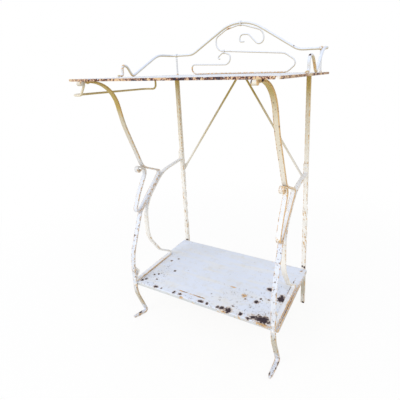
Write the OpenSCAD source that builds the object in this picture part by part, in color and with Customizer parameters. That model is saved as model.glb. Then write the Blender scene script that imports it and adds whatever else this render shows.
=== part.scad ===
// Iron wash basin stand: two sheet shelves on riveted straps and rods.
// X runs along the width, +Y towards the back, +Z up. The origin lies on the
// floor, under the middle of the whole stand.

/* [Overall sizes] */
// Floor to the upper face of the top
stand_h = 780; // [740:1:840]
// Width of the top sheet
top_w = 576; // [556:1:640]
// Depth of the top sheet
top_d = 450; // [440:1:480]
// Distance between the left and right leg planes
leg_span = 474; // [440:1:490]
// Distance of the back legs' middle plane from the back edge of the top
back_leg_inset = 48; // [44:1:60]

/* [Top] */
// Thickness of the top sheet
top_t = 2; // [1.5:0.5:3]
// Height of the turned-down rim of the top, outside
top_rim_h = 6; // [5:0.5:8]
// Corner radius of the top sheet
top_corner_r = 18; // [10:1:30]
// Width of the bearers under the top
bearer_w = 20; // [16:1:30]
// Width of the back cross bar
cross_bar_w = 20; // [16:1:24]

/* [Shelf] */
// Floor to the upper face of the shelf
shelf_z = 134; // [125:1:145]
// Depth of the shelf, front to back
shelf_d = 289; // [280:1:298]
// Amount by which the shelf stands out past each leg plane
shelf_side_out = 13; // [12:0.5:20]
// Thickness of the shelf sheet
shelf_t = 2; // [1.5:0.5:3]
// Height of the turned-down rim of the shelf, outside
shelf_rim_h = 10; // [9:0.5:14]
// Corner radius of the shelf
shelf_corner_r = 4; // [3:0.5:8]

/* [Straps] */
// Width of the leg and bow straps
strap_w = 14; // [12:1:22]
// Thickness of the leg and bow straps
strap_t = 5; // [4:0.5:6]
// Radius of a tight bend, at the middle of the strap
tight_bend_r = 7; // [5:0.5:8]
// Radius of the roll at the front of each leg, at the middle of the strap
roll_r = 3; // [3:0.5:6]
// Radius of the curl at each knee, at the middle of the strap
curl_r = 7.5; // [6:0.5:11]
// Length of the left toe
toe_len_left = 47; // [30:1:60]
// Length of the right toe
toe_len_right = 56; // [30:1:60]
// Angle at which the left toe rises from the floor
toe_rise_left = 16; // [2:1:20]
// Angle at which the right toe rises from the floor
toe_rise_right = 3; // [2:1:20]

/* [Back legs] */
// Side of the square bar of the back legs
leg_bar = 12; // [10:0.5:14]
// Height of the lower end of the twisted stretch
twist_z = 208; // [190:1:230]
// Length of the twisted stretch
twist_len = 160; // [120:1:180]
// Turns of the bar along the twisted stretch
twist_turns = 1; // [1:1:2]

/* [Back brace] */
// Diameter of the brace rod
brace_d = 7; // [6:0.5:9]
// Height at which the brace meets the back legs
brace_foot_z = 432; // [400:1:450]
// Width of the flat crown of the brace
brace_crown_w = 26; // [22:1:60]
// Thickness of the flattened crown and ends
brace_pad_t = 4; // [3:0.5:5]
// Width of the flattened crown and ends
brace_pad_w = 12; // [11:0.5:15]

/* [Gallery] */
// Diameter of the gallery rail
rail_d = 8; // [6:0.5:9]
// Diameter of the gallery scroll
scroll_d = 5; // [4:0.5:5]
// Diameter of the gallery posts
post_d = 6; // [5:0.5:8]
// Height of the rail's middle over the top, at its shoulders
rail_h = 68; // [66:1:78]
// Height of the rail's hump over its shoulders
hump_h = 92; // [88:1:98]
// Distance of the gallery plane from the back edge of the top
gallery_inset = 10; // [9:0.5:14]
// Radius of the rail's corners, seen from above
rail_corner_r = 16; // [10:1:24]
// Distance of each gallery post from the start of the rail's corner
post_gap = 4; // [4:1:30]

/* [Towel rail] */
// Diameter of the towel rail
towel_d = 6; // [5:0.5:8]
// Drop of the towel rail below the upper face of the top
towel_drop = 41; // [32:1:60]
// Distance of the towel rail's middle from the side edge of the top
towel_inset = 4; // [4:0.5:12]
// Length of the towel rail along the side
towel_len = 274; // [200:1:290]

/* [Rivets] */
// Diameter of a rivet head
rivet_head_d = 9; // [7:0.5:10]
// Height of a rivet head
rivet_head_h = 2.4; // [1.5:0.1:3]
// Diameter of a rivet shank
rivet_d = 4; // [3:0.5:5]

/* [Hidden] */

paint = "#ebe7da";
shaded_paint = "#c8bd94";
rusty_paint = "#b9a184";
rust = "#6f4630";
LEFT = -1;
RIGHT = 1;

$fn = 32;
arc_step = 8;          // degrees between the points of a strap's bend
rod_step = 8;          // degrees between the rings of a rod's bend
hole_clear = 0.1;      // a rivet hole is this much wider than its shank
collar_clear = 0.6;    // a collar's bore is this much wider than its rod
overcut = 1;           // a cut runs this far past the face that it opens

// Planes and levels that the pieces share
roll_out = 5;          // the leg rolls stand out this far past the top's front edge
back_edge_y = (top_d + roll_out) / 2;
leg_y = back_edge_y - back_leg_inset;
gallery_y = back_edge_y - gallery_inset;
leg_x = leg_span / 2;
half_t = strap_t / 2;
bearer_t = top_rim_h - top_t;
under_top_z = stand_h - top_rim_h;     // straps and legs meet the bearers here
under_sheet_z = stand_h - top_t;

// Distances in the side planes, from the middle of the back legs, +Y to the back
front_edge = back_leg_inset - top_d;
leg_face = leg_bar / 2;
shelf_front = -leg_face - shelf_d;
brace_plane = leg_face + brace_d / 2;
cross_bar_back = brace_plane + cross_bar_w / 2;

// ---- Bent paths: each point is its place followed by its bend radius ----

function unit(v) = v / norm(v);
function heading(a) = [cos(a), sin(a)];
function left_of(v) = [-v[1], v[0]];
function bearing(v) = atan2(v[1], v[0]);
function cross2(u, v) = u[0] * v[1] - u[1] * v[0];
function meet(p, a, q, b) =
    p + heading(a) * cross2(q - p, heading(b)) / cross2(heading(a), heading(b));
function place(q) = [for (i = [0 : len(q) - 2]) q[i]];
function with_radius(p, r) = concat(p, [r]);
function arc(c, r, a0, a1) =
    let (n = max(2, ceil(abs(a1 - a0) / arc_step)))
    [for (i = [0 : n]) c + r * heading(a0 + (a1 - a0) * i / n)];
function bend_centre(a, b, c, r) =
    let (u = unit(a - b), v = unit(c - b))
    b + unit(u + v) * r / sin(acos(u * v) / 2);
function bend(a, b, c, r, step) =
    let (u = unit(a - b), v = unit(c - b), inside = acos(u * v), turn = 180 - inside,
        centre = bend_centre(a, b, c, r), out = unit(b + u * r / tan(inside / 2) - centre),
        n = max(1, ceil(turn / step)))
    [for (i = [0 : n]) centre + r * (cos(turn * i / n) * out - sin(turn * i / n) * u)];
function rounded(path, step = arc_step) = [for (i = [0 : len(path) - 1])
    each (i == 0 || i == len(path) - 1) ? [place(path[i])]
        : bend(place(path[i - 1]), place(path[i]), place(path[i + 1]),
            path[i][len(path[i]) - 1], step)];
function joined(p) = [for (i = [0 : len(p) - 1])
    if (i == 0 || norm(p[i] - p[max(i, 1) - 1]) > 0.01) p[i]];
function before(p, i) = unit(p[max(i, 1)] - p[max(i, 1) - 1]);
function after(p, i) = before(p, min(i + 1, len(p) - 1));
function edge_line(p, d) = [for (i = [0 : len(p) - 1])
    p[i] + d * left_of(before(p, i) + after(p, i)) / (1 + before(p, i) * after(p, i))];
function reversed(p) = [for (i = [len(p) - 1 : -1 : 0]) p[i]];

// A flat strap on edge along a path in the side plane of the legs
module strap(path)
    let (line = joined(path))
    translate([-strap_w / 2, leg_y, 0])
        rotate([90, 0, 90])
            linear_extrude(strap_w)
                polygon(concat(edge_line(line, half_t), reversed(edge_line(line, -half_t))));

// A round rod along a path in space
function tangents(p) = [for (i = [0 : len(p) - 1]) unit(before(p, i) + after(p, i))];
function square_to(t) = unit(cross(t, abs(t[2]) < 0.9 ? [0, 0, 1] : [1, 0, 0]));
function carried(n, t) = unit(n - (n * t) * t);
module rod(path, d, sides = 10) {
    p = joined(path);
    t = tangents(p);
    last = len(p) - 1;
    normals = [for (i = 0, n = square_to(t[0]); i <= last;
        i = i + 1, n = i <= last ? carried(n, t[i]) : n) n];
    rings = [for (i = [0 : last], k = [0 : sides - 1])
        p[i] + d / 2 * (cos(360 * k / sides) * normals[i]
            + sin(360 * k / sides) * cross(t[i], normals[i]))];
    skin = [for (i = [0 : last - 1], k = [0 : sides - 1])
        let (a = i * sides + k, b = i * sides + (k + 1) % sides)
        each [[a, a + sides, b], [b, a + sides, b + sides]]];
    ends = [[for (k = [0 : sides - 1]) k],
        [for (k = [sides - 1 : -1 : 0]) last * sides + k]];
    polyhedron(rings, concat(skin, ends));
}

// ---- Small shared shapes ----

module on_side(side) translate([side * leg_x, 0, 0]) children();
module on_both() for (side = [LEFT, RIGHT]) on_side(side) children();

// Stands a child's Z axis along a direction in the side plane
module aim(p, a)
    translate([0, leg_y + p[0], p[1]])
        rotate([a - 90, 0, 0])
            children();

module rounded_rectangle(w, d, r) {
    square([w - 2 * r, d], center = true);
    square([w, d - 2 * r], center = true);
    for (x = [-1, 1], y = [-1, 1])
        translate([x * (w / 2 - r), y * (d / 2 - r)])
            circle(r);
}

module stadium(length, w) {
    translate([0, -w / 2])
        square([length, w]);
    for (x = [0, length])
        translate([x, 0])
            circle(d = w);
}

// A sheet with its rim turned down, upper face at z = 0
module tray(w, d, r, sheet, rim)
    difference() {
        translate([0, 0, -rim])
            linear_extrude(rim)
                rounded_rectangle(w, d, r);
        translate([0, 0, -rim - overcut])
            linear_extrude(rim + overcut - sheet)
                rounded_rectangle(w - 2 * sheet, d - 2 * sheet, r - sheet);
    }

// Rivets stand on z = 0 and clamp a stack that reaches z = grip
rivet_dome_r = (pow(rivet_head_d / 2, 2) + pow(rivet_head_h, 2)) / (2 * rivet_head_h);
module rivet_head()
    intersection() {
        translate([0, 0, rivet_head_h - rivet_dome_r])
            sphere(rivet_dome_r);
        cylinder(d = rivet_head_d + overcut, h = rivet_head_h + overcut);
    }
module rivet(grip, flush = false) {
    cylinder(d = rivet_d, h = grip);
    mirror([0, 0, 1])
        rivet_head();
    if (!flush)
        translate([0, 0, grip])
            rivet_head();
}
module rivet_hole(grip)
    translate([0, 0, -overcut])
        cylinder(d = rivet_d + hole_clear, h = grip + 2 * overcut);

// ---- Knee: the places that the upper leg, lower leg and bow share ----

run_a = 222;           // bearing of the straight run from the knee to the U-turn
run_side = heading(run_a + 90);
uturn_y = -250.5;
uturn_z = 373.5;
uturn_r = 11.5;
uturn_c = [uturn_y, uturn_z];
run_low = uturn_c + uturn_r * run_side;
function on_run(up, off) = run_low - up * heading(run_a) + off * run_side;

knee_in_y = -214;
knee_in_z = 500;
knee_in_r = 40;
knee_in = [knee_in_y, knee_in_z];
thigh_share = 0.686;   // of the way from the front edge to the inside of the knee
thigh_drop = 135;
thigh_r = 250;
thigh = [front_edge + thigh_share * (knee_in_y - front_edge), stand_h - thigh_drop];
knee_tip_r = tight_bend_r + 2;
knee_a = -23;          // bearing of the stretch from there to the knee's tip
knee_tip = meet(knee_in, knee_a, run_low, run_a);
knee_in_c = bend_centre(thigh, knee_in, knee_tip, knee_in_r);

// The curl comes round behind the run and is riveted to the strap's own bend
curl_gap = 0.4;
curl_touch_a = 228;
curl_hook_r = 20;
curl_hook_c = knee_in_c
    + (knee_in_r + strap_t + curl_gap + curl_hook_r) * heading(curl_touch_a);
curl_rise_a = 58;      // bearing of the front run as it enters the curl
curl_over_a = 160;     // bearing as it leaves the hook
curl_lead = 12;        // straight stretch between the hook and the curl
curl_turn = 275;
front_a = 66;          // bearing of the front run as it leaves the U-turn
front_r = 200;
hook_in = curl_hook_c + curl_hook_r * heading(curl_rise_a - 90);
hook_out = curl_hook_c + curl_hook_r * heading(curl_over_a - 90);
uturn_out = uturn_c + uturn_r * heading(front_a + 90);
front_bend = meet(uturn_out, front_a, hook_in, curl_rise_a);
curl_c = hook_out + curl_lead * heading(curl_over_a) + curl_r * heading(curl_over_a + 90);

// ---- Front leg, upper strap ----

strap_top_z = under_top_z - half_t;
roll_c = [front_edge - roll_out + roll_r + half_t, strap_top_z - roll_r];
roll_end_a = 350;
towel_gap = 2;         // the towel rail's front arm stands this far behind the roll
towel_y = roll_c[0] + roll_r + half_t + towel_gap + towel_d / 2;
towel_to_rivet = 5;
leg_top_rivet = towel_y + towel_d / 2 + rivet_head_d / 2 + towel_to_rivet;
shoulder_share = 0.521;
shoulder = [front_edge + shoulder_share * (knee_in_y - front_edge), strap_top_z];
shoulder_turn = -bearing(thigh - shoulder);
head_clear = 0.4;      // the bend starts this far behind the rivet's head
shoulder_r = (shoulder[0] - leg_top_rivet - rivet_head_d / 2 - head_clear)
    / tan(shoulder_turn / 2);

upper_leg_path = concat(
    arc(roll_c, roll_r, roll_end_a, 90),
    rounded([
        with_radius(roll_c + [0, roll_r], 0),
        with_radius(shoulder, shoulder_r),
        with_radius(thigh, thigh_r),
        with_radius(knee_in, knee_in_r),
        with_radius(knee_tip, knee_tip_r),
        with_radius(run_low, 0)]),
    arc(uturn_c, uturn_r, run_a + 90, front_a + 90),
    rounded([
        with_radius(uturn_out, 0),
        with_radius(front_bend, front_r),
        with_radius(hook_in, 0)]),
    arc(curl_hook_c, curl_hook_r, curl_rise_a - 90, curl_over_a - 90),
    arc(curl_c, curl_r, curl_over_a - 90, curl_over_a - 90 + curl_turn));

module front_leg_upper(side)
    color(paint)
        difference() {
            on_side(side)
                strap(upper_leg_path);
            on_side(side) {
                leg_top_rivet_place()
                    rivet_hole(leg_top_grip);
                curl_rivet_place()
                    rivet_hole(curl_grip);
                knee_rivet_places()
                    rivet_hole(knee_grip);
            }
            if (side == LEFT)
                towel_tenon(towel_end_front);
        }

// ---- Front leg, lower strap ----

lower_leg_up = 124;    // its upper end, along the run from the U-turn
shin_start = 6;        // its first bend starts this far below the run
shin_top = on_run(-shin_start, strap_t);
shin_top_r = 40;
shank = shelf_front - half_t;          // the upright stretch in front of the shelf
shank_lead = 91;       // the leg's bends stand this far above and below the shelf
shank_top_r = 200;
shank_low_r = 120;
shank_low_lead = 26;
heel_back = 24;        // the heel stands this far behind the front of the shelf
heel_c = [shelf_front + heel_back, half_t + tight_bend_r];
shank_low = [shank, shelf_z - shelf_rim_h - shank_low_lead];
heel_line = heel_c - shank_low;
shin_a = bearing(heel_line) + asin(tight_bend_r / norm(heel_line));
heel_in = heel_c + tight_bend_r * heading(shin_a + 90);
toe_tip_w = 11;        // the toe narrows to this width

function toe_a(side) = 180 - (side == LEFT ? toe_rise_left : toe_rise_right);
function toe_len(side) = side == LEFT ? toe_len_left : toe_len_right;
function toe_tip(side) = heel_c + tight_bend_r * heading(toe_a(side) + 90)
    + toe_len(side) * heading(toe_a(side));

function lower_leg_path(side) = concat(
    rounded([
        with_radius(on_run(lower_leg_up, strap_t), 0),
        with_radius(shin_top, shin_top_r),
        [shank, shelf_z + shank_lead, shank_top_r],
        with_radius(shank_low, shank_low_r),
        with_radius(heel_in, 0)]),
    arc(heel_c, tight_bend_r, shin_a + 90, toe_a(side) + 90 - 360),
    [toe_tip(side)]);

// Seen from above, the toe narrows to a half round
module toe_outline(side) {
    tip = toe_tip(side);
    toe_top = tip[1] + strap_t;
    translate([-strap_w, -top_d, toe_top])
        cube([2 * strap_w, 2 * top_d, stand_h]);
    translate([0, leg_y, -overcut])
        linear_extrude(toe_top + overcut)
            hull() {
                translate([0, tip[0] + toe_tip_w / 2])
                    circle(d = toe_tip_w);
                translate([-strap_w / 2 - hole_clear, heel_c[0]])
                    square([strap_w + 2 * hole_clear, top_d]);
            }
}

module front_leg_lower(side)
    color(paint)
        difference() {
            on_side(side)
                intersection() {
                    strap(lower_leg_path(side));
                    toe_outline(side);
                }
            on_side(side) {
                knee_rivet_places()
                    rivet_hole(knee_grip);
                bow_end_rivet_place()
                    rivet_hole(bow_end_grip);
                shelf_front_rivet_place()
                    rivet_hole(shelf_front_grip);
            }
        }

// ---- Side bow between the back leg, the knee and the shelf ----

tab_plane = -leg_face - half_t;
tab_top_z = 505;
tab_len = 31;
tab_low_z = tab_top_z - tab_len;
tab_bend_r = tight_bend_r + 1;
bow_a = 187.3;         // bearing from the tab to the knee
bow_join = meet([tab_plane, tab_low_z], bow_a, on_run(0, 2 * strap_t), run_a);
bow_join_r = 110;
waist_back = 31.5;     // the waist stands this far behind the U-turn's middle
bow_waist = uturn_y + waist_back;
bow_leave = meet([bow_waist, 0], 90, on_run(0, 2 * strap_t), run_a);
bow_leave_r = 100;
waist_z = 257;
waist_r = 90;
sweep_share = 0.57;    // of the way from the back legs to the shelf's front
sweep_up = 47;
sweep_r = 60;
landing_share = 0.3336;
bow_on_shelf_z = shelf_z + half_t;

// The bow's front end stands up behind the leg, with a kink over its rivet
bow_up = shelf_front + half_t;
bow_end_r = tight_bend_r - 2;
kink_r = tight_bend_r - 1;
kink_low = 21;         // heights of the kink and of the end over the shelf
kink_mid = 34;
kink_high = 46;
bow_end_up = 51;
kink_out = 12.5;

side_bow_path = rounded([
    [tab_plane, tab_top_z, 0],
    [tab_plane, tab_low_z, tab_bend_r],
    with_radius(bow_join, bow_join_r),
    with_radius(bow_leave, bow_leave_r),
    [bow_waist, waist_z, waist_r],
    [sweep_share * shelf_front, shelf_z + sweep_up, sweep_r],
    [landing_share * shelf_front, bow_on_shelf_z, tight_bend_r],
    [bow_up, bow_on_shelf_z, bow_end_r],
    [bow_up, shelf_z + kink_low, kink_r],
    [bow_up + kink_out, shelf_z + kink_mid, kink_r],
    [bow_up, shelf_z + kink_high, bow_end_r],
    [bow_up, shelf_z + bow_end_up, 0]]);

module side_bow(side)
    color(paint)
        difference() {
            on_side(side)
                strap(side_bow_path);
            on_side(side) {
                knee_rivet_places()
                    rivet_hole(knee_grip);
                bow_tab_rivet_place()
                    rivet_hole(bow_tab_grip);
                bow_end_rivet_place()
                    rivet_hole(bow_end_grip);
                bow_shelf_rivet_places()
                    rivet_hole(bow_shelf_grip);
            }
        }

// ---- Back legs ----

tenon_d = 8;           // a round tenon on each back leg goes through its bearer

module back_leg(side)
    color(paint)
        difference() {
            translate([side * leg_x, leg_y, 0]) {
                bar(0, twist_z);
                translate([0, 0, twist_z])
                    linear_extrude(twist_len, twist = 360 * twist_turns,
                        slices = 40 * twist_turns, segments = 4)
                        square(leg_bar, center = true);
                bar(twist_z + twist_len, under_top_z);
                translate([0, 0, under_top_z - overcut])
                    cylinder(d = tenon_d, h = bearer_t + overcut);
            }
            on_side(side) {
                bow_tab_rivet_place()
                    rivet_hole(bow_tab_grip);
                shelf_back_rivet_place()
                    rivet_hole(shelf_back_grip);
                brace_rivet_place()
                    rivet_hole(brace_grip);
            }
        }

module bar(z0, z1)
    translate([-leg_bar / 2, -leg_bar / 2, z0])
        cube([leg_bar, leg_bar, z1 - z0]);

// ---- Top sheet, bearers and cross bar ----

sheet_rivet_marks = [-250, -60];       // along the bearers
cross_rivet_x = 150;
rim_gap = 2;           // the bearers stop this far short of the rim

module top_sheet()
    color(paint)
        difference() {
            translate([0, back_edge_y - top_d / 2, stand_h])
                tray(top_w, top_d, top_corner_r, top_t, top_rim_h);
            top_sheet_rivet_places()
                rivet_hole(top_rim_h);
            crown_rivet_place()
                rivet_hole(crown_grip);
            post_places()
                translate([0, 0, -top_t - overcut])
                    cylinder(d = post_tenon_d + hole_clear, h = top_t + 2 * overcut);
            gallery_foot_rivet_places()
                rivet_hole(foot_grip);
        }

module bearer(side)
    color(shaded_paint)
        difference() {
            on_side(side)
                translate([-bearer_w / 2, leg_y + front_edge + top_t + rim_gap, under_top_z])
                    cube([bearer_w, cross_bar_back - front_edge - top_t, bearer_t]);
            on_side(side)
                leg_top_rivet_place()
                    rivet_hole(leg_top_grip);
            top_sheet_rivet_places()
                rivet_hole(top_rim_h);
            translate([side * leg_x, leg_y, under_top_z - overcut])
                cylinder(d = tenon_d + hole_clear, h = bearer_t + 2 * overcut);
            if (side == LEFT) {
                towel_tenon(towel_end_front);
                towel_tenon(towel_end_back);
            }
        }

module back_cross_bar()
    color(shaded_paint)
        difference() {
            translate([-leg_x + bearer_w / 2, leg_y + cross_bar_back - cross_bar_w,
                under_top_z])
                cube([leg_span - bearer_w, cross_bar_w, bearer_t]);
            top_sheet_rivet_places()
                rivet_hole(top_rim_h);
            crown_rivet_place()
                rivet_hole(crown_grip);
        }

// ---- Shelf ----

module shelf_tray()
    color(paint)
        difference() {
            translate([0, leg_y - leg_face - shelf_d / 2, shelf_z])
                tray(leg_span + 2 * shelf_side_out, shelf_d, shelf_corner_r, shelf_t,
                    shelf_rim_h);
            on_both() {
                shelf_front_rivet_place()
                    rivet_hole(shelf_front_grip);
                shelf_back_rivet_place()
                    rivet_hole(shelf_back_grip);
                bow_shelf_rivet_places()
                    rivet_hole(bow_shelf_grip);
            }
        }

// ---- Back brace: one rod from leg to leg, flattened at its crown and ends ----

brace_crown_x = 12.5;
brace_bend_r = 6;
brace_rod_z = under_top_z - brace_d / 2;
brace_pad_len = 30;
pad_lap = 5;           // the rod runs this far into its flattened ends

module brace_arm(side) {
    crown = [brace_crown_x + side * brace_crown_w / 2, brace_rod_z];
    foot = [side * leg_x, brace_foot_z];
    down = unit(foot - crown);
    rod_end = foot - (brace_pad_len - pad_lap) * down;
    rod(rounded([
        [crown[0] - side * pad_lap, leg_y + brace_plane, crown[1], 0],
        [crown[0], leg_y + brace_plane, crown[1], brace_bend_r],
        [rod_end[0], leg_y + brace_plane, rod_end[1], 0]], rod_step), brace_d);
    translate([foot[0], leg_y + leg_face + brace_pad_t, foot[1]])
        rotate([90, -bearing(-down), 0])
            linear_extrude(brace_pad_t)
                stadium(brace_pad_len, brace_pad_w);
}

module back_brace()
    color(shaded_paint)
        difference() {
            union() {
                for (side = [LEFT, RIGHT])
                    brace_arm(side);
                translate([brace_crown_x - brace_crown_w / 2, leg_y + brace_plane,
                    under_top_z - brace_pad_t])
                    linear_extrude(brace_pad_t)
                        stadium(brace_crown_w, brace_pad_w);
            }
            on_both()
                brace_rivet_place()
                    rivet_hole(brace_grip);
            crown_rivet_place()
                rivet_hole(crown_grip);
        }

// ---- Gallery: heights from the upper face of the top ----

rail_r = rail_d / 2;
rim_clear = 0.8;       // the rivet heads under the rail clear the rim by this much
rail_side_x = top_w / 2 - top_t - rivet_head_d / 2 - rim_clear;
rail_peak = rail_h + hump_h;
hump_x = 192;          // the rail starts to climb here
hump_run = 153;        // the climb would reach the peak in this distance
hump_a = atan(hump_h / hump_run);
hump_point = rail_h + hump_x * tan(hump_a);
hump_r = (hump_point - rail_peak) / (1 / cos(hump_a) - 1);
hump_foot_r = 60;

// Each side rail falls to the top, rises in a loop and ends in a flat foot. The two
// are bent by hand and differ: the values are [left, right], from the gallery plane
fall_starts = [-80, -59];
dips = [-206, -142];
loop_nears = [-231, -178];
loop_fars = [-250, -216];
loop_tops = [33, 43];
fall_r = 100;
dip_r = 9;
near_bend = 0.85;      // radii of a loop's two bends, as shares of its width
far_bend = 0.5;
foot_r = 8;
foot_rivet_out = 7.5;  // the foot's rivet and the rod's end, past the foot's bend
foot_rod_out = 1.5;
foot_pad_t = 4;
foot_pad_w = 12;
foot_grip = top_t + foot_pad_t;

function of_side(pair, side) = pair[side == LEFT ? 0 : 1];
function loop_far(side) = of_side(loop_fars, side);
function foot_y(side) = loop_far(side) - foot_r - foot_rivet_out;
function foot_rod_end(side) = loop_far(side) - foot_r - foot_rod_out;
function dip_corner(side) =
    let (c = [of_side(dips, side), rail_r + dip_r],
        fall = [of_side(fall_starts, side), rail_h],
        near = [of_side(loop_nears, side), of_side(loop_tops, side)])
    meet(fall, bearing(c - fall) + asin(dip_r / norm(c - fall)),
        near, bearing(c - near) - asin(dip_r / norm(c - near)));

function half_rail(side) =
    let (x = side * rail_side_x, far = loop_far(side), near = of_side(loop_nears, side),
        top = of_side(loop_tops, side), dip = dip_corner(side))
    [[x, foot_rod_end(side), rail_r, 0],
    [x, far, rail_r, foot_r],
    [x, far, top, far_bend * (near - far)],
    [x, near, top, near_bend * (near - far)],
    [x, dip[0], dip[1], dip_r],
    [x, of_side(fall_starts, side), rail_h, fall_r],
    [x, 0, rail_h, rail_corner_r],
    [side * hump_x, 0, rail_h, hump_foot_r]];

module in_gallery() translate([0, gallery_y, stand_h]) children();
module gallery_foot_rivet_places()
    for (side = [LEFT, RIGHT])
        in_gallery()
            translate([side * rail_side_x, foot_y(side), -top_t])
                children();

module gallery_rail()
    color(rusty_paint)
        difference() {
            in_gallery() {
                rod(rounded(concat(half_rail(LEFT), [[0, 0, hump_point, hump_r]],
                    reversed(half_rail(RIGHT))), rod_step), rail_d);
                for (side = [LEFT, RIGHT])
                    translate([side * rail_side_x, foot_y(side), 0])
                        rotate(90)
                            linear_extrude(foot_pad_t)
                                stadium(foot_rivet_out - foot_rod_out + 1, foot_pad_w);
            }
            gallery_foot_rivet_places()
                rivet_hole(foot_grip);
        }

// Posts, their tenons riveted over under the top
collar_wall = 2;
collar_w = 7;
post_x = rail_side_x - rail_corner_r - post_gap;
post_tenon_d = 4;
module post_places()
    for (side = [LEFT, RIGHT])
        in_gallery()
            translate([side * post_x, 0, 0])
                children();

module gallery_post(side)
    color(rusty_paint)
        in_gallery()
            translate([side * post_x, 0, 0]) {
                cylinder(d = post_d, h = rail_h - rail_r - collar_wall);
                translate([0, 0, -top_t])
                    cylinder(d = post_tenon_d, h = top_t + overcut);
                translate([0, 0, -top_t])
                    mirror([0, 0, 1])
                        rivet_head();
            }

module post_collar(side)
    color(rusty_paint)
        in_gallery()
            translate([side * post_x - collar_w / 2, 0, rail_h])
                rotate([0, 90, 0])
                    difference() {
                        cylinder(r = rail_r + collar_wall, h = collar_w);
                        translate([0, 0, -overcut])
                            cylinder(d = rail_d + collar_clear, h = collar_w + 2 * overcut);
                    }

// The scroll is one rod: [x, height, bend radius] from its upper curl to its end
scroll_r = scroll_d / 2;
scroll_gap = 0.2;
scroll_top = rail_peak - rail_r - scroll_r - scroll_gap;
scroll_peak_r = 60;
over_peak = 2.1;       // the two corners that touch are this far over the touch
over_touch = 1.95;
straight_z = 75;       // height of the straight run where the collar holds it
straight_x = -64;
straight_a = -4;
drawn_top = 153.3;     // the heights below belong to a scroll of this height
function lifted(z) = z
    + (scroll_top - drawn_top) * max(0, z - straight_z) / (drawn_top - straight_z);
function on_straight(x) = straight_z + (x - straight_x) * tan(straight_a);
curl_top = on_straight(straight_x) - scroll_d - scroll_gap;
hook_x = -3.5;         // sides of the upper curl
curl_x = 80;
neck_x = -92.5;
low_left_x = -195;
low_right_x = 158;
low_curl_x = -41;

scroll_path = [
    [12, lifted(101), 0],
    [hook_x, lifted(101), 5],
    [hook_x, lifted(123.5), 12],
    [27, lifted(123.5), 16],
    [curl_x, 70, 16],
    [curl_x, lifted(131), 26],
    [0, scroll_top + over_peak, scroll_peak_r],
    [-55, lifted(141.5), 50],
    [neck_x, lifted(118), 18],
    [neck_x, on_straight(neck_x), 25],
    [150, on_straight(150), 40],
    [192, 32, 14],
    [low_right_x, scroll_r, 30],
    [low_left_x, scroll_r, 18],
    [low_left_x, 34.6, 12],
    [low_curl_x, 30.4, 22],
    [low_curl_x, 62, 10],
    [-67.6, curl_top + over_touch, 16],
    [-91, 53, 5],
    [-80, 49, 0]];

module gallery_scroll()
    color(rusty_paint)
        in_gallery()
            rod([for (q = rounded(scroll_path, rod_step)) [q[0], 0, q[1]]], scroll_d, 8);

// A collar bent round two rods that lie one over the other
module double_collar(upper_d, lower_d, spacing, w) {
    wall = 1.4;
    module around(extra) {
        circle(d = upper_d + extra);
        translate([-spacing, 0])
            circle(d = lower_d + extra);
        translate([-spacing, -lower_d / 2 - extra / 2])
            square([spacing, lower_d + extra]);
    }
    translate([-w / 2, 0, 0])
        rotate([0, 90, 0])
            mirror([1, 0, 0])
                difference() {
                    linear_extrude(w)
                        around(collar_clear + 2 * wall);
                    translate([0, 0, -overcut])
                        linear_extrude(w + 2 * overcut)
                            around(collar_clear);
                }
}

module peak_collar()
    color(rusty_paint)
        in_gallery()
            translate([0, 0, rail_peak])
                double_collar(rail_d, scroll_d, rail_peak - scroll_top, 6);

module scroll_collar()
    color(rusty_paint)
        in_gallery()
            translate([straight_x, 0, on_straight(straight_x)])
                rotate([0, -straight_a, 0])
                    double_collar(scroll_d, scroll_d, scroll_d + scroll_gap, 4);

// ---- Towel rail on the left side ----

towel_back_y = towel_y + towel_len;
towel_x = -top_w / 2 + towel_inset;
towel_z = stand_h - towel_drop;
towel_end_front = [-leg_x, towel_y, under_top_z - strap_t];
towel_end_back = [-leg_x, towel_back_y, under_top_z];
towel_tenon_d = 4;
towel_stub = 5;        // the front arm leans out below this
towel_lean = 16;

module towel_tenon(end, clear = hole_clear, past = overcut)
    translate([end[0], leg_y + end[1], end[2] - 1])
        cylinder(d = towel_tenon_d + clear, h = under_sheet_z - end[2] + 1 + past);

module towel_rail()
    color(shaded_paint) {
        translate([0, leg_y, 0])
            rod(rounded([
                with_radius(towel_end_front, 0),
                with_radius(towel_end_front - [0, 0, towel_stub], 6),
                [-leg_x - towel_lean, towel_y, towel_z, 9],
                [towel_x, towel_y, towel_z, 12],
                [towel_x, towel_back_y, towel_z, 14],
                [-leg_x, towel_back_y, towel_z, 14],
                with_radius(towel_end_back, 0)], rod_step), towel_d);
        for (end = [towel_end_front, towel_end_back])
            towel_tenon(end, 0, 0);
    }

// ---- Rivets: where they go, and their stacks ----

seat_clear = 0.05;     // a head's seat in a hollow lies this far off its bottom
leg_top_grip = strap_t + bearer_t;
head_seat_in = seat_on_curve(knee_in_r - half_t);
head_seat_out = seat_on_curve(curl_hook_r - half_t);
curl_grip = 2 * strap_t + curl_gap + head_seat_in + head_seat_out;
knee_grip = 3 * strap_t;
bow_tab_grip = strap_t + leg_bar;
bow_end_grip = 2 * strap_t;
bow_shelf_grip = shelf_t + strap_t;
shelf_front_grip = strap_t + shelf_t;
shelf_back_grip = shelf_t + leg_bar;
brace_grip = leg_bar + brace_pad_t;
crown_grip = brace_pad_t + top_rim_h;
rim_rivet_z = shelf_z - shelf_t - rivet_head_d / 2 - hole_clear;
knee_rivet_marks = [78, 106];          // along the run
tab_rivet_up = 3;      // over the tab's middle
bow_rivet_up = 14;     // over the shelf
bow_rivet_shares = [0.542, 0.888];     // of the way to the shelf's front

// A flat rivet head rests this far off the bottom of a hollow of radius r
function seat_on_curve(r) = r - sqrt(r * r - pow(rivet_head_d / 2, 2)) + seat_clear;

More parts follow.
